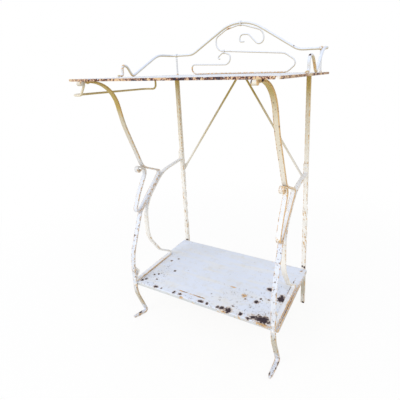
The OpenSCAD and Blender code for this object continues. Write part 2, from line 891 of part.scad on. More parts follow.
module leg_top_rivet_place()
    aim([leg_top_rivet, under_top_z - strap_t], 90)
        children();
module curl_rivet_place()
    aim(knee_in_c + (knee_in_r - half_t - head_seat_in) * heading(curl_touch_a),
        curl_touch_a)
        children();
module knee_rivet_places()
    for (up = knee_rivet_marks)
        aim(on_run(up, -half_t), run_a + 90)
            children();
module bow_tab_rivet_place()
    aim([-leg_face - strap_t, (tab_top_z + tab_low_z) / 2 + tab_rivet_up], 0)
        children();
module bow_end_rivet_place()
    aim([shelf_front - strap_t, shelf_z + bow_rivet_up], 0)
        children();
module bow_shelf_rivet_places()
    for (share = bow_rivet_shares)
        aim([share * shelf_front, shelf_z - shelf_t], 90)
            children();
module shelf_front_rivet_place()
    aim([shelf_front - strap_t, rim_rivet_z], 0)
        children();
module shelf_back_rivet_place()
    aim([-leg_face - shelf_t, rim_rivet_z], 0)
        children();
module brace_rivet_place()
    aim([-leg_face, brace_foot_z], 0)
        children();
module top_sheet_rivet_places() {
    on_both()
        for (mark = sheet_rivet_marks)
            aim([mark, under_top_z], 90)
                children();
    for (side = [LEFT, RIGHT])
        translate([side * cross_rivet_x, 0, 0])
            aim([brace_plane, under_top_z], 90)
                children();
}
module crown_rivet_place()
    translate([brace_crown_x, 0, 0])
        aim([brace_plane, under_top_z - brace_pad_t], 90)
            children();

module leg_top_rivets()
    color(rust)
        on_both()
            leg_top_rivet_place()
                rivet(leg_top_grip, flush = true);
module curl_rivets() color(rust) on_both() curl_rivet_place() rivet(curl_grip);
module knee_rivets() color(rust) on_both() knee_rivet_places() rivet(knee_grip);
module bow_tab_rivets() color(rust) on_both() bow_tab_rivet_place() rivet(bow_tab_grip);
module bow_end_rivets() color(rust) on_both() bow_end_rivet_place() rivet(bow_end_grip);
module bow_shelf_rivets()
    color(rust)
        on_both()
            bow_shelf_rivet_places()
                rivet(bow_shelf_grip);
module shelf_front_rivets()
    color(rust)
        on_both()
            shelf_front_rivet_place()
                rivet(shelf_front_grip);
module shelf_back_rivets()
    color(rust)
        on_both()
            shelf_back_rivet_place()
                rivet(shelf_back_grip);
module brace_rivets()
    color(rust) {
        on_both()
            brace_rivet_place()
                rivet(brace_grip);
        crown_rivet_place()
            rivet(crown_grip, flush = true);
    }
module top_sheet_rivets() color(rust) top_sheet_rivet_places() rivet(top_rim_h, flush = true);
module gallery_foot_rivets() color(rust) gallery_foot_rivet_places() rivet(foot_grip);

top_sheet();
bearer(LEFT);  // bearer_left
bearer(RIGHT);  // bearer_right
back_cross_bar();
shelf_tray();
back_leg(LEFT);  // back_leg_left
back_leg(RIGHT);  // back_leg_right
front_leg_upper(LEFT);  // front_leg_upper_left
front_leg_upper(RIGHT);  // front_leg_upper_right
front_leg_lower(LEFT);  // front_leg_lower_left
front_leg_lower(RIGHT);  // front_leg_lower_right
side_bow(LEFT);  // side_bow_left
side_bow(RIGHT);  // side_bow_right
back_brace();
gallery_rail();
gallery_scroll();
gallery_post(LEFT);  // gallery_post_left
gallery_post(RIGHT);  // gallery_post_right
peak_collar();
scroll_collar();
post_collar(LEFT);  // post_collar_left
post_collar(RIGHT);  // post_collar_right
towel_rail();
leg_top_rivets();
curl_rivets();
knee_rivets();
bow_tab_rivets();
bow_end_rivets();
bow_shelf_rivets();
shelf_front_rivets();
shelf_back_rivets();
brace_rivets();
top_sheet_rivets();
gallery_foot_rivets();
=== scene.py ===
"""Looks of an iron wash basin stand: bent straps and rods under old chipped paint."""

import math
from functools import cached_property

import bmesh
import bpy
from bpy.props import FloatProperty, FloatVectorProperty, IntProperty, PointerProperty
from mathutils import Matrix, Vector, noise


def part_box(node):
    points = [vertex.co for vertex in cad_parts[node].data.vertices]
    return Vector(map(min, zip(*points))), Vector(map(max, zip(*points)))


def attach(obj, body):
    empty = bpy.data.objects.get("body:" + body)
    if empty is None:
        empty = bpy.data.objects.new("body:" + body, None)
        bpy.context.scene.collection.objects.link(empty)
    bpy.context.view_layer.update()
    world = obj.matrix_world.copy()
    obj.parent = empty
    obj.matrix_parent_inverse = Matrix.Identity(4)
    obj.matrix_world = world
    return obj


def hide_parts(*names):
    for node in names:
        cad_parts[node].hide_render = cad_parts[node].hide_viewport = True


bl_info = {
    "name": "Iron wash basin stand",
    "version": (1, 0, 0),
    "blender": (4, 5, 0),
    "location": "3D View > Sidebar > Wash stand",
    "description": "Builds the worn paint and ironwork of a wash basin stand on its frame",
    "category": "Object",
}

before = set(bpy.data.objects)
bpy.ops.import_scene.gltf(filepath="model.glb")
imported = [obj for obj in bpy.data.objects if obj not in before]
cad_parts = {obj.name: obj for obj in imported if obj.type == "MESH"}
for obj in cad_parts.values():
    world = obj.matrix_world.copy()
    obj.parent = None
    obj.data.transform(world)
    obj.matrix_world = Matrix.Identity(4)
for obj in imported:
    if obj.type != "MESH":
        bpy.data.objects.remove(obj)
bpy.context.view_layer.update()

MM = 0.001
LEFT, RIGHT = -1, 1
SIDES = {"left": LEFT, "right": RIGHT}
BEND_STEP = 6          # degrees between the rings of a bend
RING_GAP = 9           # millimetres between the rings of a straight stretch
DENTS = 0.06           # hammer marks in a millimetre
LEG_LOW, LEG_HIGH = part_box("back_leg_right")
LEG_X = (LEG_LOW.x + LEG_HIGH.x) / 2 / MM
LEG_Y = (LEG_LOW.y + LEG_HIGH.y) / 2 / MM
TOP_LOW, TOP_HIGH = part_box("top_sheet")
SHELF_LOW, SHELF_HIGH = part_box("shelf_tray")
STAND_H = 780          # floor to the upper face of the top, in millimetres
UNDER_BEARER = 774     # floor to the lower faces of the bearers and the cross bar
SHELF_Z = 134          # floor to the upper face of the shelf
STRAP_T = 5            # the straps' true thickness, by which they lie on each other
PLAY = 0.4             # gap between the curl of a front leg and its knee


def srgb(red, green, blue):
    """A colour as a paint chart gives it, 0 to 255, as Blender keeps it."""
    def linear(c):
        c /= 255
        return c / 12.92 if c <= 0.04045 else ((c + 0.055) / 1.055) ** 2.4
    return linear(red), linear(green), linear(blue), 1.0


# ---- What a user would change ----


def length(name, description, millimetres):
    return FloatProperty(name=name, description=description, default=millimetres * MM,
                         min=0, unit="LENGTH", precision=4)


def paint(name, description, colour):
    return FloatVectorProperty(name=name, description=description, size=4, min=0, max=1,
                               subtype="COLOR", default=srgb(*colour))


class StandSizes(bpy.types.PropertyGroup):
    """Sizes of the finished iron."""
    strap_w: length("Strap width", "Width of the leg and bow straps", 14)
    strap_t: length("Strap thickness", "Thickness of the leg and bow straps", 5)
    bar: length("Leg bar", "Side of the square bar of the back legs", 12)
    arris: length("Worn corner", "Radius of the straps' worn corners", 0.9)
    band: length("Wear band", "How far the wear reaches in from a strap's corner", 2.6)
    rail_d: length("Rail diameter", "Diameter of the gallery rail", 8)
    scroll_d: length("Scroll diameter", "Diameter of the gallery scroll", 5)
    post_d: length("Post diameter", "Diameter of the gallery posts", 6)
    brace_d: length("Brace diameter", "Diameter of the brace rod", 7)
    towel_d: length("Towel rail diameter", "Diameter of the towel rail", 6)
    rivet_d: length("Rivet head", "Diameter of a rivet head", 9)
    rivet_h: length("Rivet height", "Height of a rivet head", 2.4)
    hammered: length("Hammer marks", "Depth of the unevenness of the bars", 0.22)
    rod_sides: IntProperty(name="Rod sides", description="Sides of a round rod", default=14,
                           min=8, max=32)


class StandPaint(bpy.types.PropertyGroup):
    """Colours of the old paint and of the iron under it, and of the painted skylight and painted
    shade on the paint.
    """
    cream: paint("Cream", "The paint where it is sound", (238, 235, 228))
    # Painted skylight: the tint of faces that look up
    sky: paint("Painted skylight", "The paint on faces that look up", (222, 231, 250))
    haze: paint("Haze", "The thin bluish paint of the gallery and lower straps",
                (218, 222, 229))
    # Painted shade: the shelf's rim and sides darker than its top
    lip: paint("Shelf rim", "The paint on the shelf's turned-down rim", (198, 202, 204))
    # Painted shade under the top; also a faint random khaki tone
    khaki_and_shade: paint("Shade and khaki", "The paint just under the top", (187, 164, 92))
    # Painted shade on faces that look down; also one band of the top's rusty rim
    tan: paint("Undersides", "The paint on faces that look down", (206, 191, 156))
    # A darker band low on the legs
    grey: paint("Low band", "The paint near the floor", (196, 190, 172))
    ochre: paint("Rust stain", "The stain that bleeds along edges", (214, 172, 108))
    bloom: paint("Bloom", "Rust that shows through thin paint", (214, 184, 164))
    rust: paint("Rust", "Brown rust where the paint has gone", (122, 74, 46))
    iron: paint("Bare iron", "Dark iron in the chips", (66, 56, 64))


# ---- Routes: stations of (place, direction) in millimetres, in the side planes ----


def flat(y, z):
    """A place in the plane of one side's legs, from the middle of its back leg."""
    return Vector((0, y, z))


def heading(angle):
    a = math.radians(angle)
    return flat(math.cos(a), math.sin(a))


def clamp(value):
    return max(0.0, min(1.0, value))


def bearing(v):
    return math.degrees(math.atan2(v.z, v.y))


def cross(u, v):
    return u.y * v.z - u.z * v.y


def meet(p, a, q, b):
    """Where a line through p on bearing a meets one through q on bearing b."""
    return p + heading(a) * cross(q - p, heading(b)) / cross(heading(a), heading(b))


def arc(centre, radius, start, end):
    steps = max(2, math.ceil(abs(end - start) / BEND_STEP))
    angles = [start + (end - start) * i / steps for i in range(steps + 1)]
    quarter = math.copysign(90, end - start)
    return [(centre + radius * heading(a), heading(a + quarter)) for a in angles]


def bend(before, corner, after, radius):
    """The stations of a bend of the given radius at a corner."""
    back, ahead = (before - corner).normalized(), (after - corner).normalized()
    turn = math.pi - back.angle(ahead)
    start = corner + back * radius * math.tan(turn / 2)
    side = (ahead + back * -ahead.dot(back)).normalized()
    centre = start + side * radius
    axis = (-back).cross(side)
    steps = max(1, math.ceil(math.degrees(turn) / BEND_STEP))
    turns = [Matrix.Rotation(turn * i / steps, 3, axis) for i in range(steps + 1)]
    return [(centre + m @ (start - centre), m @ -back) for m in turns]


def rounded(*corners):
    """The stations of a route whose corners are (place, bend radius)."""
    places = [Vector(place) for place, radius in corners]
    made = [(places[0], (places[1] - places[0]).normalized())]
    for i in range(1, len(places) - 1):
        made += bend(places[i - 1], places[i], places[i + 1], corners[i][1])
    return made + [(places[-1], (places[-1] - places[-2]).normalized())]


def spaced(route, gap=RING_GAP):
    """The same route with stations along its straight stretches."""
    made = [route[0]]
    for place, way in route[1:]:
        last = made[-1][0]
        run = (place - last).length
        if run < 0.01:
            continue
        parts = max(1, round(run / gap))
        made += [(last.lerp(place, i / parts), way) for i in range(1, parts)]
        made.append((place, way))
    return made


def frames(route, across=(1, 0, 0)):
    """One matrix a station: X across the bar, Z along it, carried without twist."""
    made, x = [], Vector(across)
    for i, (place, way) in enumerate(route):
        if i:
            x = route[i - 1][1].rotation_difference(way) @ x
        x = (x - way * x.dot(way)).normalized()
        axes = Matrix((x, way.cross(x), way)).transposed()
        made.append(Matrix.Translation(place) @ axes.to_4x4())
    return made


def sized(matrices, sizes):
    """Matrices that also stretch the section, by (across, through) at each station."""
    return [m @ Matrix.Diagonal((a, b, 1, 1)) for m, (a, b) in zip(matrices, sizes)]


# ---- Bars: a section's ring of edges, extruded from station to station ----


def new_mesh():
    bm = bmesh.new()
    bm.verts.layers.float.new("edge")
    return bm


def plate(bm, wide, deep, corner, segments):
    """One flat face with round corners."""
    made = bmesh.ops.create_grid(bm, x_segments=1, y_segments=1, size=0.5)["verts"]
    bmesh.ops.scale(bm, vec=(wide, deep, 1), verts=made)
    bmesh.ops.bevel(bm, geom=made, offset=corner, segments=segments, profile=0.5,
                    affect="VERTICES", material=-1)


def cut(bm, place, normal, dist=1e-5):
    """Cuts every face where a plane crosses it."""
    bmesh.ops.bisect_plane(bm, geom=bm.faces[:] + bm.edges[:] + bm.verts[:], dist=dist,
                           plane_co=place, plane_no=normal)


def bar_section(bm, width, thickness, corner, band):
    """The ring of a flat bar, its corners worn round and marked as edges."""
    plate(bm, width, thickness, corner, 3)
    for x in (band - width / 2, 0, width / 2 - band):
        cut(bm, (x, 0, 0), (1, 0, 0))
    cut(bm, (0, 0, 0), (0, 1, 0))
    inner = [e for e in bm.edges if not e.is_boundary]
    bmesh.ops.delete(bm, geom=bm.faces[:], context="FACES_ONLY")
    bmesh.ops.delete(bm, geom=inner, context="EDGES")
    edge = bm.verts.layers.float["edge"]
    for v in bm.verts:
        v[edge] = float(abs(v.co.x) > width / 2 - corner - 1e-4
                        and abs(v.co.y) > thickness / 2 - corner - 1e-4)
    return bm.edges[:]


def rod_section(bm, diameter, sides):
    made = bmesh.ops.create_circle(bm, cap_ends=False, segments=sides, radius=diameter / 2)
    return list({e for v in made["verts"] for e in v.link_edges})


def place_ring(bm, ring, matrix):
    bmesh.ops.transform(bm, matrix=matrix, verts=list({v for e in ring for v in e.verts}))


def draw(bm, ring, matrices, end_round=0.5):
    """Draws a section along its matrices and closes both ends."""
    place_ring(bm, ring, matrices[0])
    first = ring
    for here, there in zip(matrices, matrices[1:]):
        made = bmesh.ops.extrude_edge_only(bm, edges=ring)["geom"]
        ring = [g for g in made if isinstance(g, bmesh.types.BMEdge)]
        place_ring(bm, ring, there @ here.inverted())
    for loop in (first, ring):
        bmesh.ops.contextual_create(bm, geom=loop)
    if end_round:
        bmesh.ops.bevel(bm, geom=first + ring, offset=end_round, segments=2, profile=0.5,
                        affect="EDGES", material=-1, clamp_overlap=True)


def hammer(bm, depth):
    """Sinks the surface unevenly, never proud of the true size."""
    bm.normal_update()
    for v in bm.verts:
        v.co -= v.normal * depth * (0.5 + 0.5 * noise.noise(v.co * DENTS))


def add(name, data):
    """A new object in the scene."""
    made = bpy.data.objects.new(name, data)
    bpy.context.scene.collection.objects.link(made)
    return made


def at_leg(side):
    """Where a side's plane has its origin, at the foot of its back leg."""
    return side * LEG_X, LEG_Y, 0


def stand_in(bm, node, finish, offset=(0, LEG_Y, 0), sharp=40):
    """Brings a mesh from millimetres to its place, where it stands in for its node."""
    bmesh.ops.translate(bm, vec=offset, verts=bm.verts)
    bmesh.ops.scale(bm, vec=(MM, MM, MM), verts=bm.verts)
    bmesh.ops.recalc_face_normals(bm, faces=bm.faces)
    mesh = bpy.data.meshes.new(f"{node}_worn")
    bm.to_mesh(mesh)
    bm.free()
    mesh.shade_smooth()
    mesh.set_sharp_from_angle(angle=math.radians(sharp))
    mesh.materials.append(paints()[finish])
    piece = add(f"{node}_worn", mesh)
    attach(piece, "root")
    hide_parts(node)


# ---- Where the paint has gone ----

# On the sheets: (x, y, reach along X, along Y), in millimetres
SHELF_CHIPS = [
    (-161, -109, 8, 5), (-139, -108, 3, 3), (-91, -107, 4, 5), (-69, -106, 6, 5),
    (6, -108, 9, 5), (28, -108, 4, 5), (64, -107, 5, 5), (76, -106, 7, 7), (96, -106, 11, 10),
    (102, -86, 4, 3), (135, -106, 6, 6), (160, -111, 6, 5), (173, -102, 10, 8),
    (196, -100, 28, 12), (174, 27, 9, 8), (157, -42, 7, 7), (164, -25, 3, 3), (187, -20, 4, 3),
    (122, -44, 4, 3), (219, 0, 10, 15), (-155, -17, 4, 4), (-203, 28, 4, 4), (-186, 49, 4, 3),
    (-206, -61, 4, 3), (-194, -53, 4, 3), (-223, -100, 4, 4), (-215, -91, 4, 4),
    (-182, -78, 4, 3), (229, 62, 2, 34), (246.4, -30, 0.6, 62), (-58, -93, 9, 0.8),
    (-6, -93, 12, 0.9)]
SHELF_RUST = [
    (114, -31, 8, 8), (64, -10, 9, 2.5), (-66, -93, 18, 2), (-16, -93, 24, 2),
    (204, -115, 22, 3), (88, -116, 8, 2), (-60, -116, 8, 2), (246.5, -20, 1.5, 95),
    (252, 0, 4.2, 120), (236, 158, 5, 5), (-240, -108, 6, 5)]
SHELF_FRAYED = [(140, -50, 120, 45), (200, 20, 50, 60), (-200, -60, 50, 60), (0, -108, 220, 10)]
TOP_RUST = [(-40, 216, 150, 6), (150, 190, 70, 12), (-60, -212, 120, 6), (200, -205, 60, 8)]
MARK_DEPTH = 6         # how far above and below its sheet a mark reaches
RIM_DARK = 80          # where along X the top's rim is darkest

# On the bars: (x, y, z, reach along X, along Y, along Z), in millimetres
KNEE_CHIPS = [(243, -200, 771, 2, 6, 4), (231, -226, 770, 2, 5, 4), (241, -76, 368, 4, 5, 4)]
KNEE_RUST = [
    (237, -54, 498, 7, 10, 9), (237, -75, 368, 9, 12, 8), (243, -60, 480, 3, 30, 12),
    (243, -210, 771, 3, 20, 5)]
LEG_CHIPS = [
    (243, -118, 276, 4, 8, 6), (241, -111, 103, 3, 7, 4), (243, -96, 12, 3, 8, 9),
    (243, -114, 6, 2, 3, 5), (231, -139, 5, 4, 5, 5), (-239, -109, 11, 4, 5, 6),
    (-231, -96, 13, 2, 4, 4), (-243, -100, 8, 2, 4, 4)]
TOE_RUST = [(230, -104, 8, 2, 8, 6), (232, -141, 6, 5, 4, 6), (-232, -118, 12, 3, 5, 6)]
BOW_RUST = [
    (245, -20, 138, 3, 90, 4), (-230, -30, 137, 2, 85, 2.5), (-240, -112, 142, 7, 6, 7),
    (243, -88, 352, 3, 5, 3), (243, -88, 400, 3, 5, 3)]
BACK_LEG_CHIPS = [
    (-236, 174, 138, 5, 3, 3), (234, 174, 143, 4, 3, 3), (241, 174, 141, 4, 3, 5),
    (241, 174, 3, 4, 4, 3)]
RAIL_CHIPS = [
    (179, 217, 861, 2, 5, 3), (-281, -45, 813, 5, 7, 5), (281, 8, 824, 5, 4, 5),
    (281, 12, 812, 5, 3, 3), (281, 16, 801, 5, 4, 4)]
RAIL_RUST = [
    (-43, 217, 924, 7, 7, 7), (281, 38, 792, 10, 24, 20), (276, 212, 848, 14, 14, 12),
    (-281, -28, 800, 6, 6, 22), (-195, 217, 795, 6, 6, 12), (-281, 217, 850, 7, 7, 6)]


def on_sheet(z, marks):
    """A sheet's marks as marks in space."""
    return [(x, y, z, wide, deep, MARK_DEPTH) for x, y, wide, deep in marks]


# What each finish has that OldPaint's own settings don't say
FINISHES = {
    "strap_paint": dict(edges=0.65, specks=0.4, top_shade=1.5, up_light=0.4, coat="haze"),
    "worn_strap_paint": dict(edges=0.9, specks=0.5, marks=KNEE_CHIPS, rusts=KNEE_RUST,
                             eastward=(LEG_X, 10)),
    "low_strap_paint": dict(edges=0.65, specks=1.5, chips=0.3, foot=0.9, coat="haze",
                            marks=LEG_CHIPS, rusts=TOE_RUST),
    "bow_paint": dict(edges=0.45, specks=0.1, rusts=BOW_RUST, resting=(SHELF_Z, 2.5)),
    "leg_paint": dict(edges=0.62, foot=0.8, marks=BACK_LEG_CHIPS, eastward=(LEG_X, 0.05)),
    "rod_paint": dict(specks=-0.3, up_light=0.5, down_shade=0.8, under=(0, 0.7)),
    "brace_paint": dict(specks=-0.3, top_shade=1.7, up_light=0.4, under=(0, 0.7)),
    "rail_paint": dict(specks=-0.2, top_shade=0, up_light=0.7, down_shade=1.0, under=(-0.2, 0.5),
                       coat="haze", marks=RAIL_CHIPS, rusts=RAIL_RUST,
                       resting=(STAND_H, 8)),
    "top_paint": dict(edges=0.9, specks=0.6, top_shade=0, up_light=0.9, down_shade=0.9, rim=1.0,
                      streaks=0.4, rusts=on_sheet(STAND_H, TOP_RUST)),
    # The shelf's lip coat is painted shade on its rim and sides; its top takes painted skylight
    "shelf_paint": dict(edges=0.3, specks=0.1, top_shade=0, up_light=0.95, down_shade=0.8, coat="lip",
                        streaks=0.3, eastward=(0, 0.1), band=(0.5, 0.95),
                        marks=on_sheet(SHELF_Z, SHELF_CHIPS),
                        rusts=on_sheet(SHELF_Z, SHELF_RUST),
                        frayed=on_sheet(SHELF_Z, SHELF_FRAYED)),
    "rivet_paint": dict(edges=0.35),
}


# ---- Paint and rust ----


class Wire:
    """A node's output that takes part in Python sums."""

    def __init__(self, finish, socket):
        self.finish, self.socket = finish, socket

    def maths(self, operation, *values):
        return self.finish.node("Math", {"operation": operation}, dict(enumerate(values)))

    def __add__(self, other):
        return self.maths("ADD", self, other)

    def __sub__(self, other):
        return self.maths("SUBTRACT", self, other)

    def __rsub__(self, other):
        return self.maths("SUBTRACT", other, self)

    def __mul__(self, other):
        return self.maths("MULTIPLY", self, other)

    def __neg__(self):
        return self.maths("MULTIPLY", self, -1)

    def __abs__(self):
        return self.maths("ABSOLUTE", self)

    def least(self, other):
        return self.maths("MINIMUM", self, other)

    def most(self, other):
        return self.maths("MAXIMUM", self, other)

    __radd__, __rmul__ = __add__, __mul__


class Finish:
    """The nodes of a material or a world, while they are put together."""

    def __init__(self, owner):
        self.owner = owner
        owner.use_nodes = True
        self.tree = owner.node_tree
        self.tree.nodes.clear()

    @cached_property
    def place(self):
        return self.node("TexCoord", out="Object")

    def node(self, kind, settings=None, inputs=None, out=0):
        """Adds one node: its settings first, then its sockets' values or links."""
        made = self.tree.nodes.new("ShaderNode" + kind)
        for key, value in (settings or {}).items():
            setattr(made, key, value)
        for key, value in (inputs or {}).items():
            if isinstance(value, Wire):
                self.tree.links.new(value.socket, made.inputs[key])
            else:
                made.inputs[key].default_value = value
        return Wire(self, made.outputs[out]) if made.outputs else None

    def vector(self, operation, *values, out=0):
        return self.node("VectorMath", {"operation": operation}, dict(enumerate(values)), out)

    def noise(self, scale, detail, rough=0.6, stretch=(1, 1, 1), shift=0.0):
        spot = self.node("Mapping", None, {"Vector": self.place, "Scale": stretch,
                                           "Location": (shift, shift, shift)})
        return self.node("TexNoise", None, {"Vector": spot, "Scale": scale, "Detail": detail,
                                            "Roughness": rough})

    def step(self, value, low, high):
        """0 below low, 1 above high, and a soft step between them."""
        return self.node("MapRange", {"interpolation_type": "SMOOTHSTEP"},
                         {"Value": value, "From Min": low, "From Max": high})

    def mix(self, factor, below, above):
        return self.node("Mix", {"data_type": "RGBA"}, {0: factor, 6: below, 7: above}, 2)

    def part(self, vector, axis):
        return self.node("SeparateXYZ", None, {0: vector}, axis)

    def spots(self, marks, raggedness):
        """1 inside the nearest of some marks, and 0 away from them."""
        near = 10.0
        for mark in marks:
            place, reach = Vector(mark[:3]) * MM, Vector(mark[3:]) * MM
            away = self.vector("DIVIDE", self.vector("SUBTRACT", self.place, place), reach)
            near = self.vector("LENGTH", away, out="Value").least(near)
        return 1 - self.step(near + raggedness, 0.85, 1.1)


def shares(first, second, share):
    """The first wire's share of a sum, and the second's rest of it."""
    return first * share + second * (1 - share)


class OldPaint(Finish):
    """Chipped paint over iron, rusty at the edges, with painted shade under the top and on faces
    that look down, and painted skylight on faces that look up.
    """
    coat = "cream"         # colour of sound paint
    up_light = 0.6             # painted skylight where it looks up
    down_shade = 0.6             # painted shade where it looks down
    under = (0.5, 0.95)    # how far down it looks as the painted shade starts, and is full
    top_shade = 1.0           # painted shade under the top
    foot = 0.0             # darker band low down, near the floor
    streaks = 0.0          # brush marks
    edges = 0.5            # rust along the edges
    band = (0.12, 0.75)    # where an edge's wear starts, and is full
    eastward = (0, 0)      # a place along X, and how much faster edges rust past it
    specks = 0.3           # speckles
    frayed = ()            # places with more speckles
    chips = 0.0            # flaking
    marks = ()             # single chips
    rusts = ()             # single stains
    resting = ()           # height of the sheet it lies on, and how far up it rusts
    rim = 0.0              # rust on a turned-down rim

    # Heights in metres: where the shade of the top starts and is full, and its share
    shade = ((0.40, 0.68, 0.4), (0.66, 0.775, 0.6))
    lit_front = (0.200, 0.218)     # how far forward daylight comes under the top
    low_band = (-0.13, -0.09)        # minus the heights between which the darker band sets in
    band_end = (0.025, 0.045)     # heights over which it ends again at the toes
    knee = (0.33, 0.40)            # heights over which the specks of the legs end
    # The colours of a rusty rim, from the darkest, and where each one starts and is full
    rim_coats = (("rust", 0.49, 0.51), ("bloom", 0.525, 0.545), ("ochre", 0.56, 0.57),
                 ("tan", 0.575, 0.595))

    def __init__(self, name, colours, **wear):
        super().__init__(bpy.data.materials.new(name))
        for key, value in wear.items():
            setattr(self, key, value)
        self.hues = {key: tuple(getattr(colours, key)) for key in StandPaint.__annotations__}
        self.up = self.part(self.node("NewGeometry", out="Normal"), "Z")
        self.east, self.north, self.height = (self.part(self.place, axis) for axis in "XYZ")
        self.edge = self.node("Attribute", {"attribute_name": "edge"}, out="Fac")
        self.broad, self.cloud = self.noise(8, 3), self.noise(38, 5, 0.62, shift=3.1)
        self.blotch, self.fine = self.noise(130, 4, shift=5.3), self.noise(330, 3, shift=7.7)
        self.grain = self.noise(1100, 2, shift=1.3)

    def tint(self, factor, colour, hue):
        return self.mix(factor, colour, self.hues[hue])

    def sound(self):
        """The colour of the paint where it has held, with painted skylight and painted shade
        laid on it.
        """
        # Painted skylight: faces that look up turn lighter and bluer
        colour = self.tint(self.step(self.up, 0.0, 0.6) * self.up_light, self.hues[self.coat], "sky")
        if self.streaks:
            brushed = self.noise(14, 5, 0.65, (0.5, 3.5, 1), 2.2)
            dull = self.step(shares(self.broad, brushed, 0.7), 0.44, 0.58)
            colour = self.tint(dull * min(1, self.streaks * 1.3), colour, "haze")
            colour = self.tint(self.step(brushed, 0.44, 0.66) * self.streaks, colour, "cream")
        # Painted shade: faces that look down turn tan
        colour = self.tint(self.step(-self.up, *self.under) * self.down_shade, colour, "tan")
        # Painted shade under the top, weaker at the front where daylight reaches
        if self.top_shade:
            level = self.height + (self.broad - 0.5) * 0.08
            shade = sum(self.step(level, low, high) * share for low, high, share in self.shade)
            shade = shade * (1 - self.step(-self.north, *self.lit_front) * 0.7)
            colour = self.tint(shade * self.top_shade, colour, "khaki_and_shade")
        # A darker band low on the legs, ending at the toes
        if self.foot:
            low = self.step(-self.height + (self.broad - 0.5) * 0.05, *self.low_band)
            low = low * self.step(self.height, *self.band_end)
            colour = self.tint(low * self.foot, colour, "grey")
        colour = self.tint(self.step(self.cloud, 0.5, 0.72) * 0.14, colour, "khaki_and_shade")
        freckled = 0.12 * max(0, 0.4 + self.specks)
        return self.tint(self.step(self.blotch, 0.56, 0.70) * freckled, colour, "ochre")

    def worn(self):
        """How far the paint is stained, how brown the stain is, and where paint is gone."""
        blotch, fine, cloud = self.blotch, self.fine, self.cloud
        edge = self.step(self.edge, *self.band)
        start, pace = self.eastward
        bleeds = 0.64 - 0.24 * self.edges - (self.east - start * MM) * pace
        stain = edge * self.step(shares(blotch, cloud, 0.7) - bleeds, -0.03, 0.07) * 0.9
        speckle = 0.05 * self.specks
        if self.foot:
            speckle = (1 - self.step(self.height, *self.knee)) * speckle
        if self.frayed:
            speckle = self.spots(self.frayed, (cloud - 0.5) * 2.5) * 0.055 + speckle
        stain = stain.most(self.step(shares(fine, blotch, 0.5) + speckle, 0.65, 0.70) * 0.7)
        bares = 0.68 - 0.11 * self.edges
        bare = edge * self.step(shares(fine, blotch, 0.6), bares - 0.02, bares + 0.04)
        chip = self.step(shares(fine, blotch, 0.65) + speckle, 0.65, 0.68)
        if self.chips:
            flakes = 0.74 - 0.08 * self.chips
            chip = chip.most(self.step(shares(cloud, fine, 0.7), flakes, flakes + 0.015))
        if self.marks:
            ragged = (blotch - 0.5) * 2.6 + (fine - 0.5) * 2.2
            chip = chip.most(self.spots(self.marks, ragged))
            stain = stain.most(self.spots(self.marks, ragged - 0.3) * 0.45)
        brown = self.step(fine, 0.5, 0.66) * 0.5
        if self.rusts:
            spot = self.spots(self.rusts, (blotch - 0.5) * 3 + (fine - 0.5) * 3)
            stain = stain.most(spot * 0.9)
            brown = brown.most(spot * self.step(blotch, 0.46, 0.60))
        if self.resting:
            sheet, rise = (value * MM for value in self.resting)
            lying = self.step((blotch - 0.5) * rise * 2 - self.height, -sheet - rise,
                              -sheet - rise * 0.4)
            patchy = self.step(blotch + (fine - 0.5) * 0.6, 0.42, 0.60)
            stain = stain.most(lying * patchy * 0.8)
        return stain, brown, bare, chip

    def rusty_rim(self, colour, gone):
        """The colour and the bare iron with the turned-down rim's rust over them."""
        level = (self.blotch * 0.3 + self.fine * 0.35 + self.cloud * 0.35
                 + abs(self.east - RIM_DARK * MM) * 0.16)
        scale = self.hues["iron"]
        for hue, low, high in self.rim_coats:
            scale = self.tint(self.step(level, low, high), scale, hue)
        near = self.step(self.edge + (self.blotch - 0.5) * 1.4, 0.62, 0.9) * self.rim
        return (self.mix(near, colour, scale),
                gone.most(near * self.step(-level, -0.56, -0.50)))

    def surface(self):
        """Puts sound paint, stains and bare iron together, and gives the material."""
        stain, brown, bare, chip = self.worn()
        stained = self.mix(brown, self.hues["ochre"], self.hues["rust"])
        colour = self.mix(stain, self.sound(), stained)
        dark = self.mix(self.step(self.fine, 0.42, 0.62), self.hues["iron"], self.hues["rust"])
        gone = bare.most(chip)
        colour = self.mix(gone, colour, self.tint(chip, dark, "iron"))
        if self.rim:
            colour, gone = self.rusty_rim(colour, gone)
        rough = 0.5 + stain * 0.2 + gone * 0.3 + (self.grain - 0.5) * 0.12
        relief = ((1 - gone) * 0.55 + self.blotch * 0.3 + self.grain * 0.05
                  + self.cloud * 0.35)
        bump = self.node("Bump", None, {"Strength": 0.7, "Distance": 0.0006, "Height": relief})
        shader = self.node("BsdfPrincipled", None, {
            "Base Color": colour, "Roughness": rough, "Metallic": gone * 0.3, "Normal": bump,
            "IOR": 1.45, "Specular IOR Level": 0.35})
        self.node("OutputMaterial", None, {"Surface": shader})
        return self.owner


def paints():
    """The stand's finishes, made once and kept by name."""
    if not set(FINISHES) <= set(bpy.data.materials.keys()):
        for name, wear in FINISHES.items():
            OldPaint(name, bpy.context.scene.stand_paint, **wear).surface()
    return bpy.data.materials


# ---- Front legs and side bows ----


class Knee:
    """The places that the upper leg, the lower leg and the bow share at one side."""
    run_a = 222
    uturn, uturn_r = flat(-250.5, 373.5), 11.5
    knee_in, knee_in_r = flat(-214, 500), 40
    thigh, thigh_r = flat(-273.03, 645), 250
    side = heading(run_a + 90)
    run_low = uturn + uturn_r * side
    tip = meet(knee_in, -23, run_low, run_a)
    curl_a, curl_r, hook_r = 228, 7.5, 20
    rise_a, over_a, front_a = 58, 160, 66

    @classmethod
    def on_run(cls, up, off):
        """A place up the straight run from its low end, and off it to the back."""
        return cls.run_low - up * heading(cls.run_a) + off * cls.side


